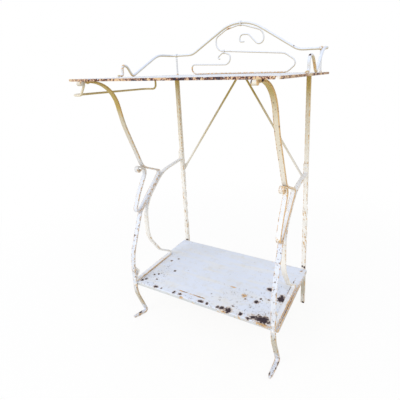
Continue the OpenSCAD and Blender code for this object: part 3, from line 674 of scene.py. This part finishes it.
def knee_in_centre():
    u = (Knee.thigh - Knee.knee_in).normalized()
    v = (Knee.tip - Knee.knee_in).normalized()
    return Knee.knee_in + (u + v).normalized() * Knee.knee_in_r / math.sin(u.angle(v) / 2)


def upper_leg_route():
    k = Knee
    roll_r, strap_z, over_hook, curl_turn = 3, UNDER_BEARER - STRAP_T / 2, 12, 275
    roll = flat(-401.5, strap_z - roll_r)
    hook = (knee_in_centre()
            + (k.knee_in_r + STRAP_T + PLAY + k.hook_r) * heading(k.curl_a))
    hook_in = hook + k.hook_r * heading(k.rise_a - 90)
    hook_out = hook + k.hook_r * heading(k.over_a - 90)
    uturn_out = k.uturn + k.uturn_r * heading(k.front_a + 90)
    curl = hook_out + over_hook * heading(k.over_a) + k.curl_r * heading(k.over_a + 90)
    return (arc(roll, roll_r, 350, 90)
            + rounded((roll + flat(0, roll_r), 0), (flat(-304.05, strap_z), 88.6),
                      (k.thigh, k.thigh_r), (k.knee_in, k.knee_in_r), (k.tip, 9),
                      (k.run_low, 0))
            + arc(k.uturn, k.uturn_r, k.run_a + 90, k.front_a + 90)
            + rounded((uturn_out, 0), (meet(uturn_out, k.front_a, hook_in, k.rise_a), 200),
                      (hook_in, 0))
            + arc(hook, k.hook_r, k.rise_a - 90, k.over_a - 90)
            + arc(curl, k.curl_r, k.over_a - 90, k.over_a - 90 + curl_turn))


TOES = {LEFT: (16, 47), RIGHT: (3, 56)}     # rise in degrees and length of each toe
HEEL, HEEL_R = flat(-271, 9.5), 7           # the middle of the heel's bend


def lower_leg_route(side):
    rise, toe = TOES[side]
    shank_low = flat(-297.5, 98)
    line = HEEL - shank_low
    shin_a = bearing(line) + math.degrees(math.asin(HEEL_R / line.length))
    toe_a = 180 - rise
    heel_out = HEEL + HEEL_R * heading(toe_a + 90)
    return (rounded((Knee.on_run(124, STRAP_T), 0), (Knee.on_run(-6, STRAP_T), 40),
                    (flat(-297.5, 225), 200), (shank_low, 120),
                    (HEEL + HEEL_R * heading(shin_a + 90), 0))
            + arc(HEEL, HEEL_R, shin_a + 90, toe_a + 90 - 360)
            + [(heel_out + toe * heading(toe_a), heading(toe_a))])


def bow_route():
    stack = Knee.on_run(0, 2 * STRAP_T)
    join = meet(flat(-8.5, 474), 187.3, stack, Knee.run_a)
    leave = meet(flat(-219, 0), 90, stack, Knee.run_a)
    front, on_shelf = -292.5, SHELF_Z + STRAP_T / 2
    return rounded((flat(-8.5, 505), 0), (flat(-8.5, 474), 8), (join, 110), (leave, 100),
                   (flat(-219, 257), 90), (flat(-168.2, 181), 60), (flat(-98.4, on_shelf), 7),
                   (flat(front, on_shelf), 5), (flat(front, 155), 6),
                   (flat(front + 12.5, 168), 6), (flat(front, 180), 5), (flat(front, 185), 0))


def strap(route):
    """A flat strap along a route in a side plane, hammered a little."""
    bm, size = new_mesh(), bpy.context.scene.stand_sizes
    ring = bar_section(bm, size.strap_w / MM, size.strap_t / MM, size.arris / MM,
                       size.band / MM)
    draw(bm, ring, frames(spaced(route)))
    hammer(bm, size.hammered / MM)
    return bm


class STAND_OT_front_legs(bpy.types.Operator):
    """Bend the two straps of each front leg, with their rolls, curls, loops and toes"""
    bl_idname = "stand.front_legs"
    bl_label = "Front legs"
    uppers = {LEFT: "strap_paint", RIGHT: "worn_strap_paint"}

    def execute(self, context):
        for name, side in SIDES.items():
            upper = strap(upper_leg_route())
            stand_in(upper, f"front_leg_upper_{name}", self.uppers[side], at_leg(side))
            lower = strap(lower_leg_route(side))
            self.round_toe(lower, context.scene.stand_sizes.strap_w / MM)
            stand_in(lower, f"front_leg_lower_{name}", "low_strap_paint", at_leg(side))
        return {"FINISHED"}

    def round_toe(self, bm, width):
        """Narrows the toe towards its tip and rounds it off."""
        tip_w, heel_y, ankle_z = 11, HEEL.y, 40
        tip_y = min(v.co.y for v in bm.verts)
        for v in bm.verts:
            if v.co.y < heel_y and v.co.z < ankle_z:
                share = (heel_y - v.co.y) / (heel_y - tip_y)
                half = (width + (tip_w - width) * share) / 2
                out = max(0.0, tip_w / 2 - (v.co.y - tip_y))
                round_off = math.sqrt(max(0.05, 1 - (out / (tip_w / 2)) ** 2))
                v.co.x *= half / (width / 2) * round_off


class STAND_OT_side_bows(bpy.types.Operator):
    """Bend the bow at each side, from the back leg by the knee to the shelf"""
    bl_idname = "stand.side_bows"
    bl_label = "Side bows"

    def execute(self, context):
        for name, side in SIDES.items():
            stand_in(strap(bow_route()), f"side_bow_{name}", "bow_paint", at_leg(side))
        return {"FINISHED"}


class STAND_OT_back_legs(bpy.types.Operator):
    """Draw the square back legs with their twisted stretch"""
    bl_idname = "stand.back_legs"
    bl_label = "Back legs"
    twist_low, twist_len, steps = 208, 160, 172

    def execute(self, context):
        size = context.scene.stand_sizes
        bar = size.bar / MM
        heights = [UNDER_BEARER * i / self.steps for i in range(self.steps + 1)]
        for name, side in SIDES.items():
            bm = new_mesh()
            ring = bar_section(bm, bar, bar, size.arris / MM, size.band / MM)
            matrices = []
            for z in heights:
                share = clamp((z - self.twist_low) / self.twist_len)
                matrices.append(Matrix.Translation((0, 0, z))
                                @ Matrix.Rotation(-math.tau * share, 4, "Z"))
            draw(bm, ring, matrices)
            hammer(bm, size.hammered / MM)
            stand_in(bm, f"back_leg_{name}", "leg_paint", at_leg(side))
        return {"FINISHED"}


# ---- Sheets ----


SHEET_T, FOLD_R = 2, 1.5       # thickness of both sheets, and how round their folds are
SHEET_CELL = 9                 # size of the sheets' faces, and reach of their edges' wear


def tray(low, high, corner):
    """A sheet with its rim turned down, from the box it fills, in millimetres."""
    bm = new_mesh()
    wide, deep, rim = high - low
    plate(bm, wide, deep, corner, 8)
    walls = bmesh.ops.extrude_face_region(bm, geom=bm.faces[:])["geom"]
    lid = next(g for g in walls if isinstance(g, bmesh.types.BMFace))
    bmesh.ops.translate(bm, vec=(0, 0, rim), verts=lid.verts)
    bmesh.ops.recalc_face_normals(bm, faces=bm.faces)
    floor = min(bm.faces, key=lambda face: face.calc_center_median().z)
    fold_line = list(lid.edges)
    bmesh.ops.inset_region(bm, faces=[floor], thickness=SHEET_T)
    hollow = bmesh.ops.extrude_face_region(bm, geom=[floor])["geom"]
    bmesh.ops.translate(bm, vec=(0, 0, rim - SHEET_T),
                        verts=[g for g in hollow if isinstance(g, bmesh.types.BMVert)])
    bmesh.ops.delete(bm, geom=[f for f in bm.faces if f.calc_center_median().z < 0.001
                               and f.calc_area() > wide * deep / 2], context="FACES_ONLY")
    bmesh.ops.bevel(bm, geom=fold_line, offset=FOLD_R, segments=3, profile=0.5,
                    affect="EDGES", material=-1)
    for size, normal in ((wide, (1, 0, 0)), (deep, (0, 1, 0))):
        cuts = round(size / SHEET_CELL)
        for i in range(1, cuts):
            at = size * (i / cuts - 0.5)
            cut(bm, [n * at for n in normal], normal, 1e-4)
    edge = bm.verts.layers.float["edge"]
    for v in bm.verts:
        away = min(wide / 2 - abs(v.co.x), deep / 2 - abs(v.co.y))
        v[edge] = max(0.0, 1 - away / SHEET_CELL)
    centre = (low + high) / 2
    bmesh.ops.translate(bm, vec=(centre.x, centre.y, low.z), verts=bm.verts)
    return bm


class STAND_OT_sheets(bpy.types.Operator):
    """Fold the plain top sheet and the shelf, each with its rim turned down"""
    bl_idname = "stand.sheets"
    bl_label = "Top sheet and shelf"
    top_corner, shelf_corner = 18, 4

    def execute(self, context):
        high = Vector((TOP_HIGH.x / MM, TOP_HIGH.y / MM, STAND_H))
        top = tray(TOP_LOW / MM, high, self.top_corner)
        stand_in(top, "top_sheet", "top_paint", (0, 0, 0))
        shelf = tray(SHELF_LOW / MM, SHELF_HIGH / MM, self.shelf_corner)
        stand_in(shelf, "shelf_tray", "shelf_paint", (0, 0, 0))
        return {"FINISHED"}


class STAND_OT_bearers(bpy.types.Operator):
    """Paint the bearers and the cross bar under the top"""
    bl_idname = "stand.bearers"
    bl_label = "Bearers and cross bar"

    def execute(self, context):
        for node in ("bearer_left", "bearer_right", "back_cross_bar"):
            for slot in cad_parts[node].material_slots:
                slot.material = paints()["leg_paint"]
        return {"FINISHED"}


# ---- Rods ----


PAD_W, PAD_T = 12, 4           # width and thickness to which a rod's end is hammered
BRACE_Y, BRACE_FOOT, CROWN_X = 9.5, 432, 12.5   # the brace's plane, foot and crown


def rod(diameter, route, gap=RING_GAP, sizes=None, across=(1, 0, 0)):
    """A round rod along a route; sizes flatten its section at each station."""
    bm, size = new_mesh(), bpy.context.scene.stand_sizes
    ring = rod_section(bm, getattr(size, diameter) / MM, size.rod_sides)
    matrices = frames(spaced(route, gap), across)
    if sizes:
        matrices = sized(matrices, sizes(matrices))
    draw(bm, ring, matrices)
    hammer(bm, size.hammered / MM * 0.5)
    return bm


def ends(matrices, reach, ramp):
    """How far each station is hammered flat, and how wide the rounded tip leaves it."""
    tip_r, least = 6, 0.08
    places = [m.translation for m in matrices]
    made = []
    for p in places:
        away = min((p - places[0]).length, (p - places[-1]).length)
        tip = math.sqrt(max(least, 1 - max(0, 1 - away / tip_r) ** 2))
        made.append((clamp((reach - away) / ramp), tip))
    return made


class STAND_OT_back_brace(bpy.types.Operator):
    """Bend the brace rod from leg to leg, flattened at its crown and ends"""
    bl_idname = "stand.back_brace"
    bl_label = "Back brace"
    crown_half, crown_z, past_foot, bend_r = 13, 770.5, 6, 6
    foot_pad, crown_pad, crown_low, ramp = 34, 20, 765, 8      # how far the flats reach
    # How far a flat moves to lie on its leg or cross bar, and how much of the rod follows
    shift, foot_reach, crown_reach, under_crown = 1.5, 24, 16, 760

    def execute(self, context):
        feet = [Vector((side * LEG_X, BRACE_Y, BRACE_FOOT)) for side in SIDES.values()]
        crowns = [Vector((CROWN_X + side * self.crown_half, BRACE_Y, self.crown_z))
                  for side in SIDES.values()]
        tips = [foot + (foot - crown).normalized() * self.past_foot
                for foot, crown in zip(feet, crowns)]
        route = rounded((tips[0], 0), (crowns[0], self.bend_r), (crowns[1], self.bend_r),
                        (tips[1], 0))
        bm = rod("brace_d", route, 4, self.pads, (0, 1, 0))
        for v in bm.verts:
            near = min((v.co - foot).length for foot in feet)
            v.co.y -= self.shift * clamp(1 - (near - self.foot_reach) / self.ramp)
            if v.co.z > self.under_crown:
                v.co.z += self.shift * clamp(1 - abs(v.co.x - CROWN_X) / self.crown_reach)
        stand_in(bm, "back_brace", "brace_paint")
        return {"FINISHED"}

    def pads(self, matrices):
        """Flat and wide at the ends, flat the other way at the crown."""
        rod_d = 7
        wide, thin = PAD_W / rod_d - 1, PAD_T / rod_d - 1
        made = []
        for m, (flat_end, tip) in zip(matrices, ends(matrices, self.foot_pad, self.ramp)):
            x, _, z = m.translation
            crown = clamp((self.crown_pad - abs(x - CROWN_X)) / 6) if z > self.crown_low else 0
            made.append((1 + flat_end * thin + crown * wide,
                         (1 + flat_end * wide + crown * thin) * tip))
        return made


GALLERY_Y = 38         # the gallery's plane, behind the back legs
RAIL_H, PEAK, RAIL_X, POST_X = 68, 160, 280.7, 260.7
HUMP_X, HUMP_RISE = 192, 92 / 153      # where the hump starts, and how steep it is
TIE_X, TIE_Z, TIE_FALL = -64, 75, 4    # where the scroll is tied, and its fall in degrees
# For each side rail: where it starts to fall, its dip, its loop's near and far sides and top
SIDE_RAILS = {LEFT: (-80, -206, -231, -250, 33), RIGHT: (-59, -142, -178, -216, 43)}


def in_gallery(x, z, back=0):
    return Vector((x, GALLERY_Y + back, STAND_H + z))


def half_rail(side):
    """One half of the gallery rail, from its foot to where it starts to climb."""
    start, dip, near, far, top = SIDE_RAILS[side]
    foot, r = side * RAIL_X, 9
    c, fall, loop = flat(dip, 4 + r), flat(start, RAIL_H), flat(near, top)
    low = meet(fall, bearing(c - fall) + math.degrees(math.asin(r / (c - fall).length)),
               loop, bearing(c - loop) - math.degrees(math.asin(r / (c - loop).length)))
    wide = near - far
    return [(in_gallery(x, z, back), bend_r) for x, z, back, bend_r in (
        (foot, 2.2, far - 21.5, 0), (foot, 2.2, far - 15, 30), (foot, 4, far - 9.5, 4),
        (foot, 4, far, 7.6), (foot, top, far, 0.5 * wide), (foot, top, near, 0.85 * wide),
        (foot, low.z, low.y, r), (foot, RAIL_H, start, 100), (foot, RAIL_H, 0, 16),
        (side * HUMP_X, RAIL_H, 0, 60))]


class STAND_OT_gallery_rail(bpy.types.Operator):
    """Bend the gallery rail with its hump, its side loops and its flat feet"""
    bl_idname = "stand.gallery_rail"
    bl_label = "Gallery rail"

    def execute(self, context):
        slope = math.atan(HUMP_RISE)
        point = RAIL_H + HUMP_X * HUMP_RISE
        radius = (point - PEAK) / (1 / math.cos(slope) - 1)
        route = rounded(*half_rail(LEFT), (in_gallery(0, point), radius),
                        *reversed(half_rail(RIGHT)))
        bm = rod("rail_d", route, 5, self.feet)
        stand_in(bm, "gallery_rail", "rail_paint")
        return {"FINISHED"}

    def feet(self, matrices):
        rod_d = 8
        return [((1 + pad * (PAD_W / rod_d - 1)) * tip, 1 + pad * (PAD_T / rod_d - 1))
                for pad, tip in ends(matrices, 16, 5)]


class STAND_OT_gallery_scroll(bpy.types.Operator):
    """Bend the thin scroll inside the gallery rail"""
    bl_idname = "stand.gallery_scroll"
    bl_label = "Gallery scroll"

    def execute(self, context):
        def straight(x):
            return TIE_Z - (x - TIE_X) * math.tan(math.radians(TIE_FALL))
        corners = [
            (12, 101, 0), (-3.5, 101, 5), (-3.5, 123.5, 12), (27, 123.5, 16), (80, 70, 16),
            (80, 131, 26), (0, 155.4, 60), (-55, 141.5, 50), (-92.5, 118, 18),
            (-92.5, straight(-92.5), 25), (150, straight(150), 40), (192, 32, 14),
            (158, 2.5, 30), (-195, 2.5, 18), (-195, 34.6, 12), (-41, 30.4, 22),
            (-41, 62, 10), (-67.6, TIE_Z - 3.25, 16), (-91, 53, 5), (-80, 49, 0)]
        route = rounded(*((in_gallery(x, z), r) for x, z, r in corners))
        bm = rod("scroll_d", route, 7, across=(0, 1, 0))
        stand_in(bm, "gallery_scroll", "rail_paint")
        return {"FINISHED"}


# For each collar: its rod's x and height, tilt, radius over that rod, radius under the
# lower rod and how far down that lies, width, and thickness of its strip
COLLARS = {"post_collar_left": (LEFT * POST_X, RAIL_H, 0, 5, 0, 0, 7, 2),
           "post_collar_right": (RIGHT * POST_X, RAIL_H, 0, 5, 0, 0, 7, 2),
           "peak_collar": (0, PEAK, 0, 5, 3.5, PEAK - 153.3, 6, 1.4),
           "scroll_collar": (TIE_X, TIE_Z, TIE_FALL, 3.5, 3.5, 5.2, 4, 1.4)}


class STAND_OT_gallery_posts(bpy.types.Operator):
    """Stand the gallery's posts and wrap its collars"""
    bl_idname = "stand.gallery_posts"
    bl_label = "Gallery posts and collars"
    corner, band = 0.35, 0.9       # worn corner and wear band of a collar's strip
    # Height up the post, and its thickness there as a share of the rod's
    swells = ((0, 1.35), (1.2, 1.35), (3.5, 1.05), (6, 1), (30, 0.97), (55, 1), (62, 1))

    def execute(self, context):
        size = context.scene.stand_sizes
        for name, side in SIDES.items():
            bm = new_mesh()
            ring = rod_section(bm, size.post_d / MM, size.rod_sides)
            matrices = [Matrix.Translation(in_gallery(side * POST_X, z))
                        @ Matrix.Diagonal((s, s, 1, 1)) for z, s in self.swells]
            draw(bm, ring, matrices, 0.3)
            stand_in(bm, f"gallery_post_{name}", "rail_paint")
            self.wrap(f"post_collar_{name}")
        self.wrap("peak_collar")
        self.wrap("scroll_collar")
        return {"FINISHED"}

    def wrap(self, node):
        """Wraps a collar round one rod, or round two that lie one above the other."""
        x, z, tilt, upper_r, lower_r, drop, width, wall = COLLARS[node]
        if drop:
            over = (arc(flat(0, -drop), lower_r, -88, 0) + arc(flat(0, 0), upper_r, 0, 180)
                    + arc(flat(0, -drop), lower_r, 180, 268))
        else:
            over = arc(flat(0, 0), upper_r, -88, 268)
        bm = new_mesh()
        ring = bar_section(bm, width, wall, self.corner, self.band)
        draw(bm, ring, frames(over), 0.2)
        bmesh.ops.rotate(bm, cent=(0, 0, 0), matrix=Matrix.Rotation(math.radians(tilt), 3, "Y"),
                         verts=bm.verts)
        bmesh.ops.translate(bm, vec=in_gallery(x, z), verts=bm.verts)
        stand_in(bm, node, "rail_paint")


class STAND_OT_towel_rail(bpy.types.Operator):
    """Bend the towel rail that hangs under the left side of the top"""
    bl_idname = "stand.towel_rail"
    bl_label = "Towel rail"

    def execute(self, context):
        x, out, front, back, z = -LEG_X, -284, -391, -117, 739
        under_strap = UNDER_BEARER - STRAP_T
        route = rounded(((x, front, under_strap), 0), ((x, front, under_strap - 5), 6),
                        ((x - 16, front, z), 9), ((out, front, z), 12), ((out, back, z), 14),
                        ((x, back, z), 14), ((x, back, UNDER_BEARER), 0))
        bm = rod("towel_d", route)
        stand_in(bm, "towel_rail", "rod_paint")
        return {"FINISHED"}


# ---- Rivets ----


def rivet(bm, place, size, axis, grip, flush=False):
    """A rivet through a stack grip thick: domed heads on a shank."""
    r, h, rings, shank_r = size.rivet_d / MM / 2, size.rivet_h / MM, 4, 2.0
    dome = (r * r + h * h) / (2 * h)
    half = math.asin(r / dome)
    head = [(dome * math.sin(half * k / rings), dome - h - dome * math.cos(half * k / rings))
            for k in range(rings + 1)]
    outline = head + [(shank_r, 0), (shank_r, grip)]
    outline += [(0, grip)] if flush else [(x, grip - z) for x, z in reversed(head)]
    edge = bm.verts.layers.float["edge"]
    chain = [bm.verts.new((x, 0, z)) for x, z in outline]
    for v in chain:
        v[edge] = 1.0 if v.co.x > r * 0.8 else 0.2
    lines = [bm.edges.new(pair) for pair in zip(chain, chain[1:])]
    bmesh.ops.spin(bm, geom=chain + lines, cent=(0, 0, 0), axis=(0, 0, 1),
                   angle=math.tau, steps=16, use_merge=True)
    grown = front = {v for e in lines for v in e.verts}
    while front:
        front = {e.other_vert(v) for v in front for e in v.link_edges} - grown
        grown = grown | front
    turn = Vector((0, 0, 1)).rotation_difference(axis).to_matrix().to_4x4()
    bmesh.ops.transform(bm, matrix=Matrix.Translation(place) @ turn, verts=list(grown))


def seat(radius):
    """How far from the middle of a bend a rivet's head lies in its hollow."""
    head_r, bite = 4.5, 0.05
    return math.sqrt(radius ** 2 - head_r ** 2) - bite


def rivet_places():
    """Rows of node, places, axis, grip and, where the far end is flush, True."""
    knee_r, hook_r = Knee.knee_in_r - STRAP_T / 2, Knee.hook_r - STRAP_T / 2
    curl_grip = knee_r - seat(knee_r) + 2 * STRAP_T + PLAY + hook_r - seat(hook_r)
    back, up, curl = Vector((0, 1, 0)), Vector((0, 0, 1)), heading(Knee.curl_a)
    on_run = [Knee.on_run(along, -STRAP_T / 2) for along in (78, 106)]

    def pair(*spots):
        return [Vector((side * LEG_X, s.y, s.z)) for side in SIDES.values() for s in spots]
    return [
        ("leg_top_rivets", pair(flat(-378.5, UNDER_BEARER - STRAP_T)), up, 9, True),
        ("curl_rivets", pair(knee_in_centre() + seat(knee_r) * curl), curl, curl_grip),
        ("knee_rivets", pair(*on_run), Knee.side, 3 * STRAP_T),
        ("bow_tab_rivets", pair(flat(-11, 492.5)), back, 17),
        ("bow_end_rivets", pair(flat(-300, 148)), back, 10),
        ("bow_shelf_rivets", pair(flat(-159.9, 132), flat(-262, 132)), up, 7),
        ("shelf_front_rivets", pair(flat(-300, 127.4)), back, 7),
        ("shelf_back_rivets", pair(flat(-8, 127.4)), back, 14),
        ("brace_rivets", pair(flat(-6, BRACE_FOOT)), back, 16),
        ("brace_rivets", [Vector((CROWN_X, BRACE_Y, 770))], up, 10, True),
        ("top_sheet_rivets", pair(flat(-250, UNDER_BEARER), flat(-60, UNDER_BEARER)),
         up, 6, True),
        ("top_sheet_rivets", [Vector((side * 150, BRACE_Y, UNDER_BEARER))
                              for side in SIDES.values()], up, 6, True),
        ("gallery_foot_rivets", [in_gallery(side * RAIL_X, -2, rail[3] - 15.5)
                                 for side, rail in SIDE_RAILS.items()], up, 6)]


class STAND_OT_rivets(bpy.types.Operator):
    """Set every rivet, its domed heads on both sides or flush with the top"""
    bl_idname = "stand.rivets"
    bl_label = "Rivets"

    def execute(self, context):
        made = {}
        for node, places, *shape in rivet_places():
            made[node] = made.get(node) or new_mesh()
            for place in places:
                rivet(made[node], place, context.scene.stand_sizes, *shape)
        for node, bm in made.items():
            bmesh.ops.remove_doubles(bm, verts=bm.verts, dist=0.01)
            stand_in(bm, node, "rivet_paint", sharp=60)
        return {"FINISHED"}


# ---- Stage ----


def seen_by(finish, shader_for_light, shader_for_eye, share=1.0):
    """Shows one shader to the camera and in reflections, and another to the rest."""
    path = {kind: finish.node("LightPath", out=kind) for kind in
            ("Is Camera Ray", "Is Glossy Ray", "Is Transmission Ray")}
    seen = path["Is Camera Ray"].most(path["Is Glossy Ray"]).most(path["Is Transmission Ray"])
    return finish.node("MixShader", None,
                       {0: seen * share, 1: shader_for_light, 2: shader_for_eye})


class STAND_OT_stage(bpy.types.Operator):
    """Lay the pale floor, hang the soft lights and set the camera"""
    bl_idname = "stand.stage"
    bl_label = "Stage"
    azimuth, elevation, roll = 26.8, 14.1, -1.5
    eye = (0.482, -0.7925, 0.792)
    focal, frame_px, middle = 326.1, 400, (236, 152)       # in pixels
    # For each lamp: its place, what it aims at, its width and its power
    lamps = (((-1.3, -2.7, 2.3), (0, 0, 0.5), 2.2, 54),
             ((2.6, -1.2, 2.2), (0, 0, 0.4), 2.0, 22))

    def execute(self, context):
        self.world(context.scene)
        self.floor()
        for lamp in self.lamps:
            self.lamp(*lamp)
        self.camera(context.scene)
        return {"FINISHED"}

    def world(self, scene):
        scene.view_settings.view_transform = "Standard"
        scene.world = scene.world or bpy.data.worlds.new("studio")
        finish = Finish(scene.world)
        light = finish.node("Background", None, {"Color": (0.97, 0.98, 1, 1), "Strength": 0.725})
        white = finish.node("Background", None, {"Color": (1, 1, 1, 1), "Strength": 1})
        finish.node("OutputWorld", None, {"Surface": seen_by(finish, light, white)})

    def floor(self):
        finish = Finish(bpy.data.materials.new("pale_floor"))
        away = finish.vector("LENGTH", finish.place, out="Value")
        matt = finish.node("BsdfDiffuse", None, {"Color": (0.9, 0.9, 0.9, 1)})
        glow = finish.node("Emission", None, {"Color": (1, 1, 1, 1), "Strength": 1})
        share = 0.9 + finish.step(away, 0.5, 1.5) * 0.1
        finish.node("OutputMaterial", None, {"Surface": seen_by(finish, matt, glow, share)})
        bm = bmesh.new()
        bmesh.ops.create_grid(bm, x_segments=1, y_segments=1, size=14)
        mesh = bpy.data.meshes.new("floor")
        bm.to_mesh(mesh)
        bm.free()
        mesh.materials.append(finish.owner)
        floor = add("floor", mesh)
        floor.location.z = -0.0005

    def lamp(self, spot, aim, wide, power):
        data = bpy.data.lights.new("soft_lamp", "AREA")
        data.shape, data.size, data.energy = "DISK", wide, power
        lamp = add("soft_lamp", data)
        lamp.location = spot
        lamp.rotation_euler = (Vector(spot) - Vector(aim)).to_track_quat("Z", "Y").to_euler()

    def camera(self, scene):
        data = bpy.data.cameras.new("camera")
        data.sensor_width, data.sensor_fit = 36, "HORIZONTAL"
        data.lens = self.focal / self.frame_px * data.sensor_width
        data.shift_x = 0.5 - self.middle[0] / self.frame_px
        data.shift_y = self.middle[1] / self.frame_px - 0.5
        data.clip_start = 0.05
        data.dof.use_dof = False
        scene.camera = add("camera", data)
        turn = (Matrix.Rotation(math.radians(self.azimuth), 4, "Z")
                @ Matrix.Rotation(math.radians(90 - self.elevation), 4, "X")
                @ Matrix.Rotation(math.radians(self.roll), 4, "Z"))
        scene.camera.matrix_world = Matrix.Translation(self.eye) @ turn


# ---- Panel and registration ----

MAKERS = [STAND_OT_stage, STAND_OT_sheets, STAND_OT_bearers, STAND_OT_back_legs,
          STAND_OT_front_legs, STAND_OT_side_bows, STAND_OT_back_brace,
          STAND_OT_gallery_rail, STAND_OT_gallery_scroll, STAND_OT_gallery_posts,
          STAND_OT_towel_rail, STAND_OT_rivets]


class STAND_PT_panel(bpy.types.Panel):
    """Lists the pieces of the wash stand, its sizes and its colours"""
    bl_label = "Wash stand"
    bl_idname = "STAND_PT_panel"
    bl_space_type = "VIEW_3D"
    bl_region_type = "UI"
    bl_category = "Wash stand"

    def draw(self, context):
        for maker in MAKERS:
            self.layout.operator(maker.bl_idname)
        for group in (context.scene.stand_sizes, context.scene.stand_paint):
            for key in group.__annotations__:
                self.layout.prop(group, key)


CLASSES = [StandSizes, StandPaint, *MAKERS, STAND_PT_panel]


def register():
    for cls in CLASSES:
        bpy.utils.register_class(cls)
    bpy.types.Scene.stand_sizes = PointerProperty(type=StandSizes)
    bpy.types.Scene.stand_paint = PointerProperty(type=StandPaint)


def unregister():
    del bpy.types.Scene.stand_paint
    del bpy.types.Scene.stand_sizes
    for cls in reversed(CLASSES):
        bpy.utils.unregister_class(cls)


def main():
    """Builds the whole stand."""
    register()
    for maker in MAKERS:
        group, name = maker.bl_idname.split(".")
        getattr(getattr(bpy.ops, group), name)()


if __name__ == "__main__":
    main()
